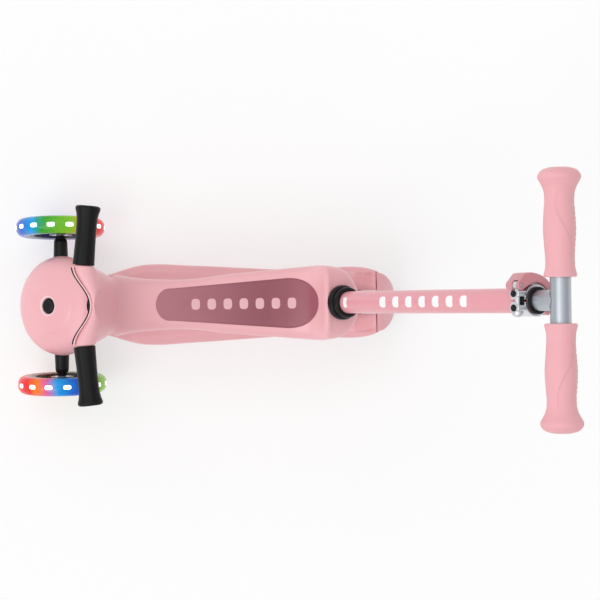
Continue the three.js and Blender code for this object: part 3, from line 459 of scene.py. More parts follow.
def metal(name, base, shade, roughness, streaks):
    """Bare metal. Drawing or turning leaves streaks, long one way and fine the other."""
    finish = Finish(name, Metallic=1.0)
    drawn = finish.node("Mapping", inputs={"Vector": finish.place(), "Scale": streaks})
    lines = finish.noise(60.0, 6.0, 0.6, vector=drawn)
    spots = finish.band(finish.noise(90.0, 6.0, 0.7), 0.62, 0.8)
    finish.set(Base_Color=finish.mix(lines * 0.5, base, shade),
               Roughness=roughness + lines * 0.1 + spots * 0.12)
    finish.bump(lines, 0.2, 0.00002)
    return finish.material


pad_rose = pad_finish()
aluminium = metal("brushed_aluminium", colour("C2C8CE"), colour("ACB4BC"), 0.4, (8, 1, 8))
chrome = metal("bright_zinc", colour("E2E6EA"), colour("CCD2D7"), 0.34, (3, 3, 3))
print("pad and metals ready")

# %% [markdown]
# The front tyres are clear urethane over a ring of lamps, which tint them all the way round like
# a colour wheel. The tint is painted by the angle about the axle, so it turns with the wheel.
# A little emission of the same tint stands for the light that the urethane carries sideways, and
# the inner wall shows the dark mesh of the hub through it.

# %% Lamp-lit tyres
def lit_tyre(name, wheel_frame, stops, inner_side, mesh_from=0.0455, strength=0.14):
    """Tinted urethane outside the radius mesh_from, and dark mesh inside it, in metres."""
    finish = Finish(name, Coat_Weight=0.15, Coat_Roughness=0.15, IOR=1.5, Specular_IOR_Level=0.3,
                    Emission_Strength=strength)
    centre = wheel_frame.translation
    place = finish.place()
    x, y, z = [finish.node("SeparateXYZ", output=axis, inputs={"Vector": place}) - centre[axis]
               for axis in range(3)]
    turn = finish.node("Math", operation="ARCTAN2", inputs={0: z, 1: x})
    share = finish.band(turn + (finish.noise(40.0) - 0.5) * 0.5, -math.pi, math.pi)
    tint = finish.node("ValToRGB", inputs={"Fac": share}, stops=stops)
    cells = finish.node("TexVoronoi", inputs={"Vector": place, "Scale": 520.0})
    mesh_holes = finish.band(cells, 0.2, 0.5)
    inner = finish.band(y * inner_side, 0.004, 0.006)
    reach = (x * x + z * z).power(0.5)
    inner = inner * finish.band(reach, mesh_from + 0.003, mesh_from)
    dark = inner * (0.35 + mesh_holes * 0.65)
    body = finish.mix(dark, tint, (0.02, 0.025, 0.03))
    finish.set(Base_Color=body, Emission_Color=finish.mix(dark, tint, (0.0, 0.0, 0.0)),
               Roughness=0.16 + finish.noise(160.0, 6.0) * 0.14)
    finish.bump(finish.noise(260.0, 3.0), 0.2, 0.00006)
    return finish.material


def axle_frame(joint):
    return axis_frame(joints[joint]["pos_m"], joints[joint]["axis"], sideways=(0, 0, 1))


left_wheel, right_wheel, rear_wheel = [
    axle_frame(side + "_wheel_spin") for side in ("left", "right", "rear")]
BLUE, CYAN, GREEN, LIME, ORANGE, RED, PINK = [colour(c) for c in (
    "0A4FC0", "0C98DE", "259A22", "7FC028", "EC7A22", "E30C16", "D8589A")]
right_tint = [(0.0, RED), (0.12, PINK), (0.3, BLUE), (0.58, BLUE), (0.66, CYAN), (0.71, GREEN),
              (0.8, LIME), (0.88, ORANGE), (0.94, RED)]
left_tint = [(0.0, LIME), (0.15, GREEN), (0.35, ORANGE), (0.5, RED), (0.63, RED), (0.67, ORANGE),
             (0.71, PINK), (0.755, CYAN), (0.83, BLUE), (0.9, GREEN), (0.96, LIME)]
tyre_left = lit_tyre("lit_tyre_left", left_wheel, left_tint, -1)
tyre_right = lit_tyre("lit_tyre_right", right_wheel, right_tint, 1)
core_left = lit_tyre("lit_core_left", left_wheel, left_tint, -1, mesh_from=0.06, strength=0.05)
core_right = lit_tyre("lit_core_right", right_wheel, right_tint, 1, mesh_from=0.06, strength=0.05)

lamp = Finish("white_lamp", Roughness=0.2, Emission_Strength=1.1)
glow = lamp.band(lamp.noise(200.0), 0.2, 0.8, 0.9, 1.0)
lamp.set(Base_Color=lamp.mix(glow, (0.85, 0.92, 1.0), (1, 1, 1)),
         Emission_Color=lamp.mix(glow, (0.85, 0.93, 1.0), (1, 1, 1)))
print("tyres and lamps ready")

# %% [markdown]
# Bolts, bearings and other hardware inside the scooter keep the solids of the frame. They get
# their finish from the slot that the record gives them.

# %% Finishes of the hardware
SLOT_FINISH = {"body": pink, "bar": paint, "grip": grip_pink, "lever": lever_rose, "black": black,
               "soft_black": black_rubber, "rear_tread": black_rubber, "steel": chrome,
               "tube": aluminium, "pad": pad_rose, "tread": tyre_left, "lamp": lamp.material}
slot_of = {s["node"]: s["material_slot"] for s in frame["record"]["subparts"]}
for name, node in nodes.items():
    node.data.materials.clear()
    node.data.materials.append(SLOT_FINISH[slot_of[name]])


def fitted(made, finish, body, slot, *stands_for):
    """Gives a finished piece its material and its body, and hides the nodes it stands for. The slot argument is
    not used.
    """
    made.data.materials.clear()
    made.data.materials.append(finish)
    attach(made, body)
    if stands_for:
        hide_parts(*stands_for)
    print(made.name, len(made.data.polygons), "faces")
    return made


# %% [markdown]
# Flat-sided pieces, such as fork ears and the lever, are outlines pushed through a thickness.
# Small printed or set-in marks are thin rounded patches bent over whatever they sit on.

# %% Prisms and patches
def prism(name, outline, low, high, place, along="z"):
    """An outline of (a, b) pushed from low to high: along z it lies in x, y, along y in x, z."""
    mesh = bmesh.new()
    rings = [[mesh.verts.new((a, b, level) if along == "z" else (a, level, b))
              for a, b in outline] for level in (low, high)]
    for ring in rings:
        mesh.faces.new(ring)
    bridged(mesh, *rings)
    return finish_mesh(name, mesh, place)


def box(name, x0, x1, y0, y1, z0, z1, place):
    return prism(name, [(x0, y0), (x1, y0), (x1, y1), (x0, y1)], z0, z1, place)


def patches(name, spots, half_u, half_v, point, place, squareness=4.0, depth=0.7, lift=0.15):
    """Closed thin patches. point(spot, u, v, rise) says where a patch's point lies."""
    mesh = bmesh.new()
    outline = rounded_outline(half_u, half_v, squareness, 32)
    for spot in spots:
        layers = [[mesh.verts.new(point(spot, u, v, -depth)) for u, v in outline]]
        for share in (1.0, 0.94, 0.7, 0.35):
            rise = lift if share < 1 else lift * 0.4
            layers.append([mesh.verts.new(point(spot, u * share, v * share, rise))
                           for u, v in outline])
        for low, high in zip(layers, layers[1:]):
            bridged(mesh, low, high)
        for ring, rise in ((layers[0], -depth), (layers[-1], lift)):
            bridged(mesh, ring, [mesh.verts.new(point(spot, 0, 0, rise))])
    return finish_mesh(name, mesh, place)


def eased(low, high, x):
    """0 before low, 1 after high, and a smooth step between."""
    t = min(max((x - low) / (high - low), 0.0), 1.0)
    return t * t * (3 - 2 * t)


# %% [markdown]
# The nose is a round moulded cover over the steering head, tilted forward. It is a lathe shape:
# a skirt, a shoulder, a shallow step, and a nearly flat top with a lip round the button. The
# lathe's profile is drawn once, in the head's own frame, and the top of the socket is cut out.

# %% Nose cover and its button
NOSE, WALL = 67.6, 3.0
outside = [(NOSE - 0.8, -3.5), (NOSE, -1.5), (NOSE, 0), (0.993 * NOSE, 3.2), (0.982 * NOSE, 6.2),
           (0.96 * NOSE, 10.4), (0.925 * NOSE, 14.3), (0.875 * NOSE, 17.6), (0.81 * NOSE, 20.3),
           (0.73 * NOSE, 22.3), (0.63 * NOSE, 24.1), (0.565 * NOSE, 24.7), (0.545 * NOSE, 25.35),
           (0.525 * NOSE, 25.9), (0.42 * NOSE, 26.7), (0.3 * NOSE, 27.5), (14.8, 27.95),
           (13.9, 28.0)]
lip = [(13.2, 27.3), (11.6, 26.2), (10.7, 25.6), (10.6, 18.5)]
inside = [(13.0, 18.5), (13.0, 23.4), (0.545 * NOSE - 2, 22.2), (0.73 * NOSE - 2.4, 19.4),
          (0.86 * NOSE - 2.8, 14.6), (NOSE - WALL - 1, 4.0), (NOSE - WALL, -3.5)]
nose_shell = turned("nose_shell", outside + lip + inside, head, segments=160, smooth_angle=32)
combine(nose_shell, [rod("socket_room", 23.2, -30, 40, socket, 96)], "DIFFERENCE", 32)
fitted(nose_shell, pink, "frame", "body", "nose_cover")
button_rows = [(0, 20), (10.2, 20), (10.2, 26.6), (9.4, 27.6), (7.5, 28.1), (6.9, 27.7),
               (3.5, 27.9), (0, 28.0)]
fitted(turned("nose_button", button_rows, head), black, "lock", "black", "lock_button")
# The ring round the button is coloured pale as a painted highlight on its rounded lip.
lip_rows = [(13.0, 26.6), (13.9, 27.4), (13.7, 28.1), (13.1, 28.1), (11.2, 26.8), (11.1, 26.0),
            (12.2, 26.0)]
fitted(turned("nose_lip", lip_rows, head, 120), lip_highlight, "frame", "body")

# %% [markdown]
# The saddle, its front column and the child's small crossbar are one moulding. Each is a loft
# through rounded sections, and a voxel remesh with a little smoothing melts the three into one
# skin with generous fillets, which is just what the mould maker does with a ball cutter.

# %% Saddle, column and crossbar
SADDLE_HALF = 47.75
LEAN = math.radians(35)
CREST = 235.7


def crest(x):
    """The saddle's back slopes square to the push bar."""
    return CREST + (x + 52) * math.tan(LEAN)


# Each row holds x, the share of the half width, the top and the bottom.
saddle_rows = [
    (240, 0.84, 232, 168), (225, 0.775, 224, 172), (205, 0.71, 218, 176), (184, 0.68, 216, 178),
    (142, 0.675, 214, 178), (100, 0.78, 213, 178), (65, 0.85, 213, 178), (30, 0.912, 214, 178),
    (0, 0.963, 217.5, 180), (-16, 0.99, 224, 183), (-26, 1.0, 236, 186), (-34, 0.985, crest(-34), 189),
    (-42, 0.965, crest(-42), 191), (-50, 0.925, crest(-50), 194), (-60, 0.81, crest(-60), 196),
    (-66, 0.665, crest(-66), 199), (-70, 0.52, crest(-70), 202), (-74, 0.32, crest(-74), 206),
    (-76.5, 0.12, crest(-76.5), 209)]


def saddle_ring(x, inset=0.0, lowered=0.0):
    share, top, low = through(saddle_rows, x)
    top, low, half = top - inset, low - lowered, share * SADDLE_HALF - inset + 0.4
    return [(x, y, (top + low) / 2 + z)
            for y, z in rounded_outline(half, (top - low) / 2, 3.2, 72)]


saddle = lofted("saddle_shell", [saddle_ring(x) for x in spread(240, -76.5, 90)], upright)

# Each row holds z, the back, the front and the half width.
column_rows = [(136, 240, 277, 21), (160, 234, 275, 22), (190, 228, 272, 27), (220, 230, 268, 36),
               (240, 236, 265, 40), (260, 241, 262, 43), (280, 245, 259.6, 45), (300, 249, 258.6, 46)]


def column_ring(z):
    back, front, half = through(column_rows, z)
    return [((front + back) / 2 + x, y, z)
            for x, y in rounded_outline((front - back) / 2, half, 2.6, 64)]


column = lofted("column", [column_ring(z) for z in spread(136, 300, 40)], upright)

CROSS_Z, CROSS_HALF, SWEEP = 295.0, 49.0, math.radians(5.3)
GRIP_X, GRIP_START = 267.6, 50.3


def bar_front(y):
    t = min(abs(y) / CROSS_HALF, 1)
    return 258.5 + 21.4 * (0.5 - 0.5 * math.cos(math.pi * t)) ** 1.1


def bar_back(y):
    return 247 + 7.5 * (abs(y) / CROSS_HALF) ** 2


def crossbar_ring(y):
    """An upright section whose end is sheared square to the swept grip."""
    thick, middle = (bar_front(y) - bar_back(y)) / 2, (bar_front(y) + bar_back(y)) / 2
    ring = [(middle + x, CROSS_Z + z) for x, z in rounded_outline(thick, 12.8, 2.6, 48)]
    share = y / CROSS_HALF
    return [(x, GRIP_START * share + share ** 3 * math.tan(SWEEP) * (x - GRIP_X), z)
            for x, z in ring]


crossbar = lofted("crossbar", [crossbar_ring(y) for y in spread(-CROSS_HALF, CROSS_HALF, 61)],
                  upright)

gathered(saddle, [column, crossbar])
melted(saddle, 1.7, 5)
ball = [(math.sin(math.radians(a)), -math.cos(math.radians(a))) for a in spread(0, 180, 33)]
ball[0], ball[-1] = (0, -1), (0, 1)
scoop_place = shifted(upright, 233, 0, 276) @ Matrix.Rotation(math.radians(16), 4, "Y")
scoop = turned("scoop", ball, scoop_place @ Matrix.Diagonal((16.5, 26, 46, 1)))
combine(saddle, [scoop], "DIFFERENCE")
melted(saddle, 1.6, 5)
bar_rows = [(0, -90), (20.6, -90), (20.6, -31), (14.4, -30.5), (14.4, 0), (23.2, 0), (23.2, 60),
            (0, 60)]
bar_room = turned("bar_room", bar_rows, bar)
stem_room = rod("stem_room", 14.4, 0, 74.4, socket, 96)
hollow = lofted("hollow", [saddle_ring(x, 3.6, 12) for x in spread(232, -48, 50)], upright)
combine(saddle, [hollow, bar_room, stem_room], "DIFFERENCE")
fitted(saddle, pink, "frame", "body", "seat_shell")

# %% [markdown]
# The pad is a thin soft plate let into the saddle: wide over the hips, narrower to the front,
# with a rolled edge. Its points are dropped on the saddle's skin, so that it follows the seat.

# %% Saddle pad
skin = BVHTree.FromObject(saddle, bpy.context.evaluated_depsgraph_get())


def skin_height(tree, x, y, default=0.216):
    """Height in metres of a skin above a point of the saddle's plan, in mm."""
    hit = tree.ray_cast(Vector((saddle_origin + x * MM, y * MM, 0.5)), Vector((0, 0, -1)))
    return hit[0].z if hit[0] else default


PAD_FRONT, PAD_BACK, PAD_WIDEST, PAD_HALF, PAD_TAPER = 185.0, -23.5, 16.0, 32.3, 11.5


def pad_half(x):
    if x >= PAD_WIDEST:
        t = (x - PAD_WIDEST) / (PAD_FRONT - PAD_WIDEST)
        end = math.sqrt(max(1 - ((t - 0.9) / 0.1) ** 2, 0)) if t > 0.9 else 1
        return (PAD_HALF - PAD_TAPER * min(t / 0.88, 1)) * end
    t = (PAD_WIDEST - x) / (PAD_WIDEST - PAD_BACK)
    return PAD_HALF * math.sqrt(max(1 - t ** 2.4, 0))


mesh = bmesh.new()
rows = []
for x in [PAD_FRONT - 0.02] + spread(PAD_FRONT - 0.5, PAD_BACK + 0.5, 110) + [PAD_BACK + 0.02]:
    half = max(pad_half(x), 0.4)
    row = []
    for k in range(41):
        y = half * math.sin(math.pi / 2 * (-1 + k / 20))
        edge = min(half - abs(y), x - PAD_BACK, PAD_FRONT - x)
        rise = 2.3 * math.sqrt(1 - (1 - min(edge / 2.2, 1)) ** 2) - 0.3
        z = skin_height(skin, x, y) + rise * MM
        row.append(mesh.verts.new((saddle_origin + x * MM, y * MM, z)))
    rows.append(row)
for front, back in zip(rows, rows[1:]):
    for k in range(40):
        mesh.faces.new((front[k], back[k], back[k + 1], front[k + 1]))
solidified = bmesh.ops.extrude_face_region(mesh, geom=mesh.faces[:])
for element in solidified["geom"]:
    if isinstance(element, bmesh.types.BMVert):
        element.co.z -= 1.6 * MM
pad = finish_mesh("saddle_pad", mesh, Matrix.Identity(4), 50)
fitted(pad, pad_rose, "frame", "pad", "seat_pad")

# %% [markdown]
# A row of plain rounded marks decorates the pad. They are bent over the pad's own surface.

# %% Marks on the pad
pad_skin = BVHTree.FromObject(pad, bpy.context.evaluated_depsgraph_get())


def on_pad(spot, u, v, rise):
    x, y = spot[0] + u, spot[1] + v
    return (saddle_origin + x * MM, y * MM, skin_height(pad_skin, x, y) + rise * MM)


pad_marks = patches("pad_marks", [(134 - 20.6 * k, 0) for k in range(7)], 5.5, 7.0, on_pad,
                    Matrix.Identity(4), squareness=3.0, depth=0.5, lift=0.12)
fitted(pad_marks, pad_light, "frame", "pad")

# %% [markdown]
# A thin black strip closes the gap between the nose and the crossbar, with a bevelled lip of
# the crossbar behind it, coloured pale as a painted highlight where the rounded edge catches the
# light. Both follow the crossbar's S-shaped front edge.

# %% Strip and lip along the crossbar
def strip(name, inner, outer, low, high, reach):
    """A strip along the crossbar's front, from inner to outer of it and from low to high."""
    section = [((inner + outer) / 2 + a, (low + high) / 2 + b)
               for a, b in rounded_outline((outer - inner) / 2, (high - low) / 2, 4.0, 16)]
    rings = [[(bar_front(y) + a, y, z) for a, z in section] for y in spread(-reach, reach, 81)]
    return lofted(name, rings, upright)


fitted(strip("crossbar_strip", 0.5, 2.3, 286.5, 306.5, 47.5), black, "frame", "black",
       "crossbar_trim")
fitted(strip("crossbar_lip", -1.9, 0.5, 293, 306.9, 48.2), lip_highlight, "frame", "body")

# %% [markdown]
# The child's grips are hard black rubber, oval rather than round so that small hands can feel
# which way they point, with a flared and rounded end. They sweep slightly forward.

# %% Child grips
def grip_frame(side):
    place = (saddle_origin + GRIP_X * MM, side * 50 * MM, CROSS_Z * MM)
    return axis_frame(place, (-math.sin(SWEEP), side * math.cos(SWEEP), 0), sideways=(0, 0, 1))


def oval(r, h, angle):
    """Slightly square, with a shallow flat on top."""
    corner = abs(math.cos(angle)) ** 2.7 + abs(math.sin(angle)) ** 2.7
    return r * min(corner ** (-1 / 2.7), 1.035) / 1.02, h


grip_rows = [(9.35, 0.4), (13.2, 0.4), (13.6, 1.2), (13.5, 4), (13.2, 12), (12.8, 26), (12.6, 40),
             (12.8, 52), (13.3, 60), (14.2, 65), (15.2, 68), (15.7, 70), (15.6, 71.8),
             (14.6, 73.3), (12.5, 74), (6, 74), (0, 74)]
for side, name in ((1, "left"), (-1, "right")):
    made = turned(name + "_child_sleeve", [(0, 0.4)] + grip_rows, grip_frame(side), segments=96,
                  corner=0.6, shape=oval)
    fitted(made, black_rubber, "frame", "soft_black", name + "_child_grip")

# %% [markdown]
# The deck is a long flat moulding that swells into the neck under the nose. Its visible rim has
# a bevelled band, and behind it a set of fine ribs stops a foot from slipping off the tail.

# %% Deck
DECK_HALF = 55.5
BOLT_BORE, PIN_BORE, BAR_BORE = 4.35, 2.35, 14.35
deck_halves = [(280, 0.69), (273, 0.7), (256, 0.765), (243, 0.855), (231, 0.925), (217, 0.98),
               (195, 1.0), (157, 0.965), (110, 0.92), (70, 0.875), (0, 0.82), (-30, 0.835),
               (-60, 0.88), (-74, 0.88), (-92, 0.84), (-104, 0.77), (-109, 0.72)]
# Each row holds x, the bottom and the top.
deck_heights = [(280, 79, 110.3), (267, 68, 119.1), (262, 60, 107), (250, 52, 92.1),
                (235, 48, 75.6), (217, 46, 70), (150, 46, 70), (50, 46, 70), (-50, 46, 70),
                (-66, 46, 70), (-80, 46, 73.5), (-92, 46, 77.5), (-102, 46, 80.5), (-109, 49, 80.5)]


def deck_ring(x):
    half = through(deck_halves, x) * DECK_HALF
    low, high = through(deck_heights, x)
    band = min(1.0, (high - low) / 24)
    side = [(half - 5, low), (half - 1.5, low + 1.5), (half, low + 6), (half, high - 9 * band),
            (half - 1.0, high - 5.5 * band), (half - 6.5, high - 2.2 * band),
            (half - 8.5, high - 1.6 * band), (half - 9.5, high - 0.2), (half - 11, high)]
    ring = [(x, y, z) for y, z in side]
    ring += [(x, y, high) for y in spread(half - 16, -(half - 16), 12)]
    ring += [(x, -y, z) for y, z in reversed(side)]
    return ring + [(x, y, low) for y in spread(-(half - 9), half - 9, 12)]


deck = lofted("deck_moulding", [deck_ring(x) for x in spread(280, -109, 130)], upright)
head_block = turned("head_block", [(0, -4.5), (59.2, -4.5), (59.2, 6), (12, 9), (12, 12), (0, 12)],
                    head)
tower = turned("tower", [(0, -46), (18, -46), (19.5, -20), (19.5, 0), (0, 0)], socket)
fixing = box("fixing", 53, 103, -22, 22, 44, 49, upright)
axle_x = -82.0
lug_side = [(-16, 50), (-12, 38), (-8, 32), (-3, 30)]
outline = [(axle_x + x, z) for x, z in lug_side + [(-x, z) for x, z in reversed(lug_side)]]
lugs = [prism("lug", outline, low, high, upright, along="y")
        for low, high in ((15.5, 30), (-30, -15.5))]
gathered(deck, [head_block, tower, fixing] + lugs)
melted(deck, 1.5, 3)
to_the_left = Matrix.Rotation(-math.pi / 2, 4, "X")
axle_place = shifted(upright, axle_x, 0, 40) @ to_the_left
hinge_place = shifted(upright, -34, 0, 66) @ to_the_left
rooms = [
    box("slot", -142, -27, -16.5, 16.5, 0, 110, upright),
    box("brake_room", -142, -103.5, -70, 70, 66, 110, upright),
    rod("axle_bore", BOLT_BORE, -60, 60, axle_place),
    rod("hinge_bore", PIN_BORE, -27, 27, hinge_place, 32),
    rod("bolt_room", 8.6, 30, 60, axle_place), rod("bolt_room", 8.6, -60, -30, axle_place),
    rod("stem_bore", BAR_BORE, -46, 5, socket, 64), rod("king_bore", BOLT_BORE, -10, 20, head),
    rod("bar_end", 14.8, -209, 0, bar, 64)]
rooms += [box("pocket", x0, x1, y0, y1, 41, 65, upright)
          for x0, x1 in ((118, 170), (-18, 26)) for y0, y1 in ((4, 34.4), (-34.4, -4))]
combine(deck, rooms, "DIFFERENCE")
fitted(deck, pink, "frame", "body", "deck")

# %% [markdown]
# The ribs are thin patches standing on the tail, and their height comes from the deck's own rows.

# %% Ribs on the deck's tail
def on_deck(spot, u, v, rise):
    return (spot[0] + u, spot[1] + v, through(deck_heights, spot[0] + u)[1] + rise)


ribs = patches("deck_ribs", [(x, side * 34) for x in spread(-76, -97, 9) for side in (1, -1)],
               0.6, 7.5, on_deck, upright, squareness=2.6, depth=1.0, lift=0.55)
fitted(ribs, pink, "frame", "body")

# %% [markdown]
# The lower cover closes the saddle from below and runs down round the push bar as a leg that
# stands on the deck. The leg is turned about the bar's axis and widens to an oval foot.

# %% Lower cover and leg
def down(z):
    """How far below the saddle's crest, along the bar, the level z is."""
    return -(CREST - z) / math.cos(LEAN)


def cover_ring(x):
    share, _, low = through(saddle_rows, x)
    half, level = share * SADDLE_HALF - 10.1, low + 0.8
    return [(x, -half, level), (x, half, level), (x, half, level + 2.8), (x, -half, level + 2.8)]


cover = lofted("lower_cover", [cover_ring(x) for x in spread(220, -22, 30)], upright, 30)
leg_rows = [(0, down(70) - 20), (25, down(70) - 20), (22, down(120)), (20.2, -45),
            (20.2, -30.4), (0, -30.4)]
leg = turned("leg", leg_rows, bar)
foot_x = -52 + (CREST - 74) * math.tan(LEAN)
foot = prism("foot", [(x + foot_x, y) for x, y in rounded_outline(36, 28, 2.6, 72)], 70.2, 78,
             upright)
bevelled(foot, 2.0)
combine(cover, [leg, foot], "UNION", 30)
turn_forward = Matrix.Rotation(math.pi / 2, 4, "Y")
latch_place = shifted(bar, 0, 0, -168) @ turn_forward
snap_place = shifted(bar, 0, 0, -110) @ Matrix.Rotation(-math.pi / 2, 4, "Y")
rooms = [
    box("below_deck", -200, 300, -100, 100, 0, 70.4, upright),
    rod("tube_bore", BAR_BORE, -400, 20, bar, 64), rod("latch", 6.35, 16, 40, latch_place),
    rod("snap_hole", BOLT_BORE, 10, 40, snap_place)]
combine(cover, rooms, "DIFFERENCE", 30)
fitted(cover, pink, "frame", "body", "seat_underside")
release_rows = [(0, 19.6), (6, 19.6), (6, 25.8), (5.4, 26.6), (3, 27.1), (0, 27.2)]
fitted(turned("release_button", release_rows, latch_place, 64), black, "seat_release", "black",
       "seat_release_button")
print("leg foot at", round(foot_x, 1), "mm")

# %% [markdown]
# The push bar passes through two black collars on the saddle's back, a wide one and a slimmer
# one stacked on it. The tube is painted steel, glossier than the mouldings.

# %% Collars, tube and its marks
lower_rows = [(21.2, 0.4), (22, 1.5), (22, 6.6), (21.3, 8.3), (19.8, 9.3), (17.6, 9.6), (16.6, 9.1)]
upper_rows = [(18.9, 9.8), (19.5, 10.6), (19.5, 14.8), (18.7, 16.6), (17.2, 17.4), (15.6, 17.6)]
for name, rows, low, high, corner, node in (
        ("saddle_collar", lower_rows, 0.4, 9.1, 0.5, "seat_collar"),
        ("upper_collar", upper_rows, 9.8, 17.2, 0.4, "collar_ring")):
    rows = [(BAR_BORE, low)] + rows + [(BAR_BORE, high)]
    fitted(turned(name, rows, bar, 128, corner), black, "frame", "black", node)
BAR_RADIUS = 14
tube = turned("bar_tube", [(12.5, -203), (14, -203), (14, 364), (12.5, 364)], bar, segments=96,
              corner=0.3)
combine(tube, [rod("snap_bore", BOLT_BORE, 0, 30, snap_place)], "DIFFERENCE")
fitted(tube, paint, "frame", "bar", "t_bar_tube")


def on_tube(spot, u, v, rise):
    angle, radius = spot[0] + u / BAR_RADIUS, BAR_RADIUS + rise
    return (radius * math.cos(angle), radius * math.sin(angle), spot[1] + v)


for name, spots, half_u, half_v, squareness, lift in (
        ("tube_marks", [(0, 104 + 25.2 * k) for k in range(7)], 7.0, 6.0, 3.2, 0.1),
        ("tube_label", [(0, 27)], 6.5, 3.6, 5.0, 0.08)):
    made = patches(name, spots, half_u, half_v, on_tube, bar, squareness, 0.4, lift)
    fitted(made, white_print, "frame", "bar")

# %% [markdown]
# The height clamp is a cast split collar with two ears, drawn shut by a bolt. The lever hugs it
# round the right side. Both are outlines with softly rounded edges, as castings have.

# %% Clamp, bolt, nut and lever
clamp = turned("clamp_casting", [(14.3, 340), (17.8, 340), (17.8, 363.5), (14.3, 363.5)], bar,
               segments=96, corner=0.6)
ears = [box("ear", 14.8, 27.4, low, high, 349, 363.5, bar) for low, high in ((4.6, 11), (-11, -4.6))]
for ear in ears:
    bevelled(ear, 1.3)
combine(clamp, ears, "UNION")
bolt_place = shifted(bar, 21.5, 0, 356) @ to_the_left
rooms = [box("slit", 0, 30, -1.4, 1.4, 335, 370, bar),
         rod("clamp_bore", 14.3, 335, 370, bar, 96), rod("bolt_bore", 3.35, -20, 20, bolt_place)]
combine(clamp, rooms, "DIFFERENCE")
fitted(clamp, chrome, "frame", "tube", "clamp")
nut_rows = [(3.35, 11.4), (6.2, 11.4), (6.4, 12), (6.4, 15.4), (5.6, 16.6), (4.6, 17.4),
            (3.35, 17.6)]
fitted(turned("clamp_nut_round", nut_rows, bolt_place, 64), chrome, "frame", "steel", "clamp_nut")
ring_rows = [(11.95, 364.4), (15.2, 364.4), (15.2, 366.8), (14.4, 367.5), (11.95, 367.6)]
fitted(turned("clamp_ring", ring_rows, bar, 96, 0.3), black, "frame", "black", "clamp_shim")
# A black liner fills the slit between the ears. Its black also stands for the shade down in the slit, a painted
# shadow.
liner_and_slit_shade = prism("clamp_liner_and_shade", circle(0, 0, 19.4, -13, 13, 8) + circle(0, 0, 14.5, 13, -13, 8),
              350, 362.6, bar)
fitted(bevelled(liner_and_slit_shade, 0.4), black, "frame", "black")
cap_rows = [(0, 27.6), (3.9, 27.6), (3.9, 28.4), (3.1, 29.0), (0, 29.1)]
ear_caps = [turned("ear_cap", cap_rows, shifted(bar, 0, y, 356) @ turn_forward, 48)
            for y in (7.8, -7.8)]
combine(ear_caps[0], [ear_caps[1]], "UNION")
ear_caps[0].name = "ear_caps"
fitted(ear_caps[0], black, "frame", "black")

back_line = [(16, -30.4), (6, -31.4), (-8, -28.6), (-19, -22.4), (-26, -12), (-27.6, 0),
             (-24.6, 9.5), (-18.6, 17.2)]
smooth_back = round_corners([(p[0] + 100, p[1]) for p in back_line], 6.0, closed=False)
lever_outline = [(a - 100, b) for a, b in smooth_back]
lever_outline += circle(0, 0, 20, 138, 303, 40) + circle(21.5, -17, 5.6, 120, -60, 20)
lever = prism("lever_handle", lever_outline, 342, 363, bar)
bevelled(lever, 2.2, segments=4, angle=40)
pivot = shifted(bar, 21.5, -17, 356)
combine(lever, [rod("fork_room", 6, -3.4, 3.4, pivot, 64),
                rod("pin_bore", PIN_BORE, -20, 20, pivot, 32)], "DIFFERENCE")
fitted(lever, lever_rose, "lever", "lever", "clamp_lever")

# %% [markdown]
# Above the clamp slides the bare aluminium tube with its cross tube. The grips are pink rubber:
# a waist at each end, a swell for the palm, finger ribs behind, and a fat safety bulb at the tip
# that keeps a fall from driving the bar into anyone. All of that is one lathe shape whose radius
# also changes with the angle.

# %% Inner tube, cross tube and grips
grip_top = shifted(bar, 0, 0, HANDLEBAR_AT)
cross = axis_frame(cross_middle, (0, 1, 0), sideways=bar_axis)
inner = turned("inner_tube_fine", [(10, -243), (11.6, -243), (11.6, 0), (10, 0)], grip_top, 96)
combine(inner, [rod("cross_room", 11.9, -40, 40, cross, 96)], "DIFFERENCE")
fitted(inner, aluminium, "handlebar", "tube", "inner_tube")
tube_rows = [(10, -136.2), (11.6, -136.2), (11.6, 136.2), (10, 136.2)]
fitted(turned("cross_tube_fine", tube_rows, cross, 96, 0.3), aluminium, "handlebar", "tube",
       "cross_tube")

BODY, BULB = 16.4, 23.4
grip_line = [(0, BODY + 0.9), (2, BODY + 1.7), (5, BODY + 1.1), (10, BODY - 0.1), (16, BODY - 0.4),
             (32, BODY + 0.5), (52, BODY + 1.8), (70, BODY + 0.9), (84, BODY), (92, BODY + 0.5),
             (98, BODY + 2.3), (103, BODY + 5.0), (107, BULB), (110.5, BULB - 0.1),
             (114, BULB - 2.4), (117, BULB - 6.6), (118.6, BULB - 12)]


def grip_relief(r, h, angle):
    """Finger ribs on the rear, and a shallow S-edged hand rest on top."""
    along = h - 25.2
    back = math.atan2(math.sin(angle - 0.95), math.cos(angle - 0.95))
    top = math.atan2(math.sin(angle - 2.1), math.cos(angle - 2.1))
    reach = eased(22, 30, along) * (1 - eased(80, 88, along))
    rib = 0.5 - 0.5 * math.cos(2 * math.pi * along / 5.8)
    ribs = 1.1 * reach * math.exp(-(back / 0.42) ** 2) * rib
    edge = 0.55 * math.sin((along - 54) / 54 * math.pi)
    rest = 1.0 * eased(14, 26, along) * (1 - eased(84, 98, along)) * eased(0.0, 0.1, edge - top)
    rest *= eased(-1.6, -1.2, top)
    return (r - ribs - rest if r > 14 else r), h


for side, name in ((1, "left"), (-1, "right")):
    rows = [(0, 136.6), (11.95, 136.6), (11.95, 25.2)]
    rows += [(through(grip_line, h), 25.2 + h) for h in spread(0, 118.6, 190)]
    rows += [(5, 144.1), (0, 144.2)]
    place = cross if side > 0 else cross @ Matrix.Diagonal((1, 1, -1, 1))
    made = turned(name + "_grip_sleeve", rows, place, segments=112, shape=grip_relief)
    fitted(made, grip_pink, "handlebar", "grip", name + "_grip")

# %% [markdown]
# The steering truck is one black moulding: a hub that turns under the nose, and an arm to each
# front wheel. The arms taper outwards and sit a little proud of the hub.

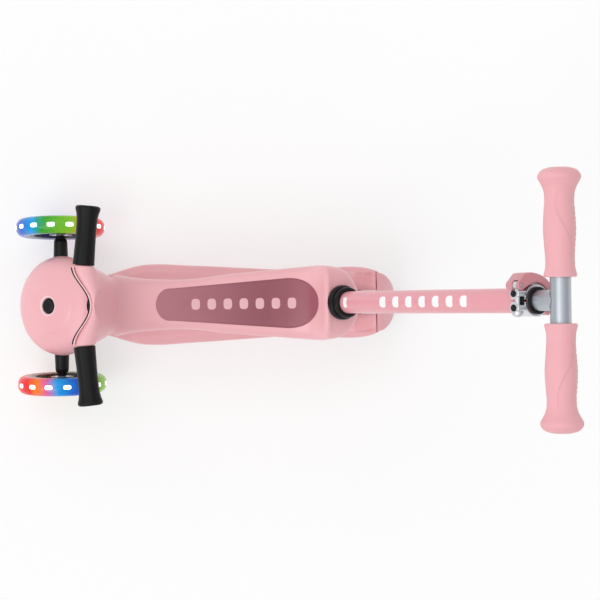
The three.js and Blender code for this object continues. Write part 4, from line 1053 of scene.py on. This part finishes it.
# %% Steering truck
hub = turned("truck_moulding", [(0, -33), (24, -33), (28, -29), (28, -11), (25, -8), (0, -8)],
             head, segments=96)
axle_line = shifted(upright, 328, 0, 60.5) @ to_the_left
arm_rows = [(0, -91.5), (8, -91.5), (9.2, -88.5), (10.2, -60), (11, -28), (11, 28), (10.2, 60),
            (9.2, 88.5), (8, 91.5), (0, 91.5)]
arms = turned("arms", arm_rows, axle_line, segments=72, corner=0.8)
gathered(hub, [arms, rod("boss", 6.5, -24, -10.4, left_wheel),
               rod("boss", 6.5, 10.4, 24, right_wheel)])
melted(hub, 1.1, 3)
bolts = [rod("bolt", BOLT_BORE, -46.5, 0, left_wheel), rod("bolt", BOLT_BORE, 0, 46.5, right_wheel),
         rod("king", BOLT_BORE, -40, 5, head)]
combine(hub, bolts, "DIFFERENCE")
fitted(hub, black, "truck", "black", "steering_truck")

# %% [markdown]
# Each front wheel is a core with five round windows, a clear tyre, and fifteen lamp windows set
# round the tread.

# %% Front wheels
TYRE, RIM, HALF = 60.5, 0.66 * 60.5, 12.0


def tread_radius(h):
    """The tyre's round tread at a distance h from its middle."""
    t = math.asin(min(abs(h) / HALF * math.sin(math.radians(78)), 0.999))
    return RIM + 9 + (TYRE - RIM - 9) * math.cos(t) ** 0.8


def on_tread(spot, u, v, rise):
    angle = spot[0] + u / TYRE
    radius = tread_radius(spot[1] + v) + rise
    return (radius * math.cos(angle), radius * math.sin(angle), spot[1] + v)


def wheel_core(name, rim, half, place):
    web = 0.34 * half
    rows = [(11.35, half - 2), (15.35, half - 2), (16.35, web), (rim - 4, web),
            (rim - 3, half - 1), (rim, half - 1)]
    core = turned(name, mirrored(rows), place, corner=0.8)
    middle, hole = (16.35 + rim - 4) / 2, (rim - 20.35) / 2 - 1.2
    holes = []
    for k in range(5):
        spot = shifted(place @ Matrix.Rotation(2 * math.pi * k / 5, 4, "Z"), middle, 0, 0)
        holes.append(rod("window", hole, -30, 30, spot, 40))
    return combine(core, holes, "DIFFERENCE")


heights = [HALF * math.sin(math.radians(a)) for a in spread(-89, 89, 41)]
tyre_rows = [(RIM + 0.4, -11), (RIM + 4, -11.6)] + [(tread_radius(h), h) for h in heights]
tyre_rows += [(RIM + 4, 11.6), (RIM + 0.4, 11), (RIM + 0.4, 5.76), (RIM + 3.6, 5.76),
              (RIM + 3.6, -5.76), (RIM + 0.4, -5.76)]
for name, place, finish, core_finish, sign, first in (
        ("left", left_wheel, tyre_left, core_left, 1, 28),
        ("right", right_wheel, tyre_right, core_right, -1, 22.5)):
    body = name + "_front_wheel"
    tyre = turned(name + "_tyre", tyre_rows, place, segments=144, smooth_angle=50)
    fitted(tyre, finish, body, "tread", name + "_front_tyre")
    spots = [(math.radians(24 * k + first), sign * -0.6) for k in range(15)]
    lamps = patches(name + "_lamps", spots, 5.4, 2.9, on_tread, place, squareness=3.4, depth=1.2,
                    lift=0.12)
    fitted(lamps, lamp.material, body, "lamp", name + "_light_ring")
    core = wheel_core(name + "_core", RIM, HALF, place)
    fitted(core, core_finish, body, "black", name + "_front_wheel_core")
    cap_rows = [(0, 10.2), (7.3, 10.2), (7.3, 13.0), (6.2, 14.7), (3.6, 15.2), (3.2, 15), (0, 15)]
    cap = turned(name + "_axle_cap", [(r, sign * h) for r, h in cap_rows], place, 64)
    fitted(cap, chrome, "truck", "steel")

# %% [markdown]
# The small rear wheel runs in the deck's fork, black tyre on a pink core. The brake is a curved
# flap over it with a broad tail, where the foot presses.

# %% Rear wheel and brake
shoulder = [(28.4, 13), (35.4, 13), (36.6, 12.5), (38.2, 10.8), (39.2, 8.8), (39.8, 6.8), (40, 5.6)]
groove = [(40, 4.6), (39.2, 4.0), (39.2, 2.8), (40, 2.2)]
rear_tyre = turned("rear_tyre_fine", mirrored(shoulder + groove), rear_wheel, 128)
fitted(rear_tyre, black_rubber, "rear_wheel", "rear_tread", "rear_tyre")
fitted(wheel_core("rear_core", 28.0, 13.0, rear_wheel), pink, "rear_wheel", "body",
       "rear_wheel_core")

BRAKE_IN, BRAKE_OUT = 44.2, 48.8
arch = circle(axle_x, 40, BRAKE_OUT, 34, 168, 48) + circle(axle_x, 40, BRAKE_IN, 168, 34, 48)
flap = prism("brake_cover", arch, -DECK_HALF, DECK_HALF, upright, along="y")
tongue, seam, tail = 15.7, -105.0, -132.0
plan = [(-33.2, tongue), (seam, tongue)]
plan += [(seam + (tail - seam) * math.sin(k / 24 * math.pi / 2),
          0.72 * DECK_HALF * math.cos(k / 24 * math.pi / 2)) for k in range(24)]
plan += [(tail, 0)] + [(x, -y) for x, y in reversed(plan)]
outline = prism("plan", plan, 0, 200, upright)
combine(flap, [outline], "INTERSECT")
knuckle = rod("knuckle", 5.5, -12, 12, hinge_place, 64)
tie = prism("tie", [(-36, 62), (-31, 70), (axle_x + BRAKE_OUT * 0.72, 40 + BRAKE_OUT * 0.69),
                    (axle_x + BRAKE_IN * 0.81, 40 + BRAKE_IN * 0.59)], -12, 12, upright, along="y")
gathered(flap, [knuckle, tie])
melted(flap, 0.9, 2)
combine(flap, [rod("pin", PIN_BORE, -30, 30, hinge_place, 32)], "DIFFERENCE")
fitted(flap, pink, "brake", "body", "brake_flap")

# %% [markdown]
# A plain pale floor glows a little, as a lit white sweep does. With soft, wide lights from both
# sides and from above it gives even shading, a pale contact shadow and no hard edges.

# %% Floor and light
mesh = bmesh.new()
bmesh.ops.create_grid(mesh, x_segments=2, y_segments=2, size=40.0)
floor_data = bpy.data.meshes.new("floor")
mesh.to_mesh(floor_data)
mesh.free()
floor = new_object("floor", floor_data)
floor_finish = Finish("pale_floor", Roughness=0.9, Specular_IOR_Level=0.1, Emission_Strength=0.52)
clouds = floor_finish.noise(3.0) * 0.2
floor_finish.set(Base_Color=floor_finish.mix(clouds, (0.47,) * 3, (0.48,) * 3))
floor_finish.surface.inputs["Emission Color"].default_value = (1, 1, 1, 1)
floor.data.materials.append(floor_finish.material)


def soft_light(name, source, strength, spread_degrees):
    """A far, wide light shining from source towards the origin, equally strong at every height."""
    data = bpy.data.lights.new(name, "SUN")
    data.energy = strength
    data.angle = math.radians(spread_degrees)
    made = bpy.data.objects.new(name, data)
    bpy.context.scene.collection.objects.link(made)
    made.location = source
    made.rotation_euler = (-Vector(source)).to_track_quat("-Z", "Y").to_euler()
    return made


soft_light("key", (1.6, 1.2, 2.6), 0.85, 40)
soft_light("fill", (1.2, -1.6, 2.4), 0.5, 60)
soft_light("top", (0.1, 0.0, 3.0), 0.35, 70)
world = bpy.data.worlds.new("soft_room")
world.use_nodes = True
background = world.node_tree.nodes["Background"]
background.inputs["Color"].default_value = (1, 1, 1, 1)
background.inputs["Strength"].default_value = 0.55
bpy.context.scene.world = world

# %% [markdown]
# The camera hangs straight over the scooter and looks down, with a long lens, so that the tall
# handlebar looms only a little.

# %% Camera
CAMERA_HEIGHT, LENS = 2.427, 103.3
camera_data = bpy.data.cameras.new("camera")
camera_data.lens = LENS
camera_data.sensor_width = 36
camera = bpy.data.objects.new("camera", camera_data)
bpy.context.scene.collection.objects.link(camera)
camera.location = (saddle_origin, -0.0038, CAMERA_HEIGHT)
camera.rotation_euler = (0, 0, math.pi - math.radians(0.72))
bpy.context.scene.camera = camera
bpy.context.scene.view_settings.view_transform = "Standard"
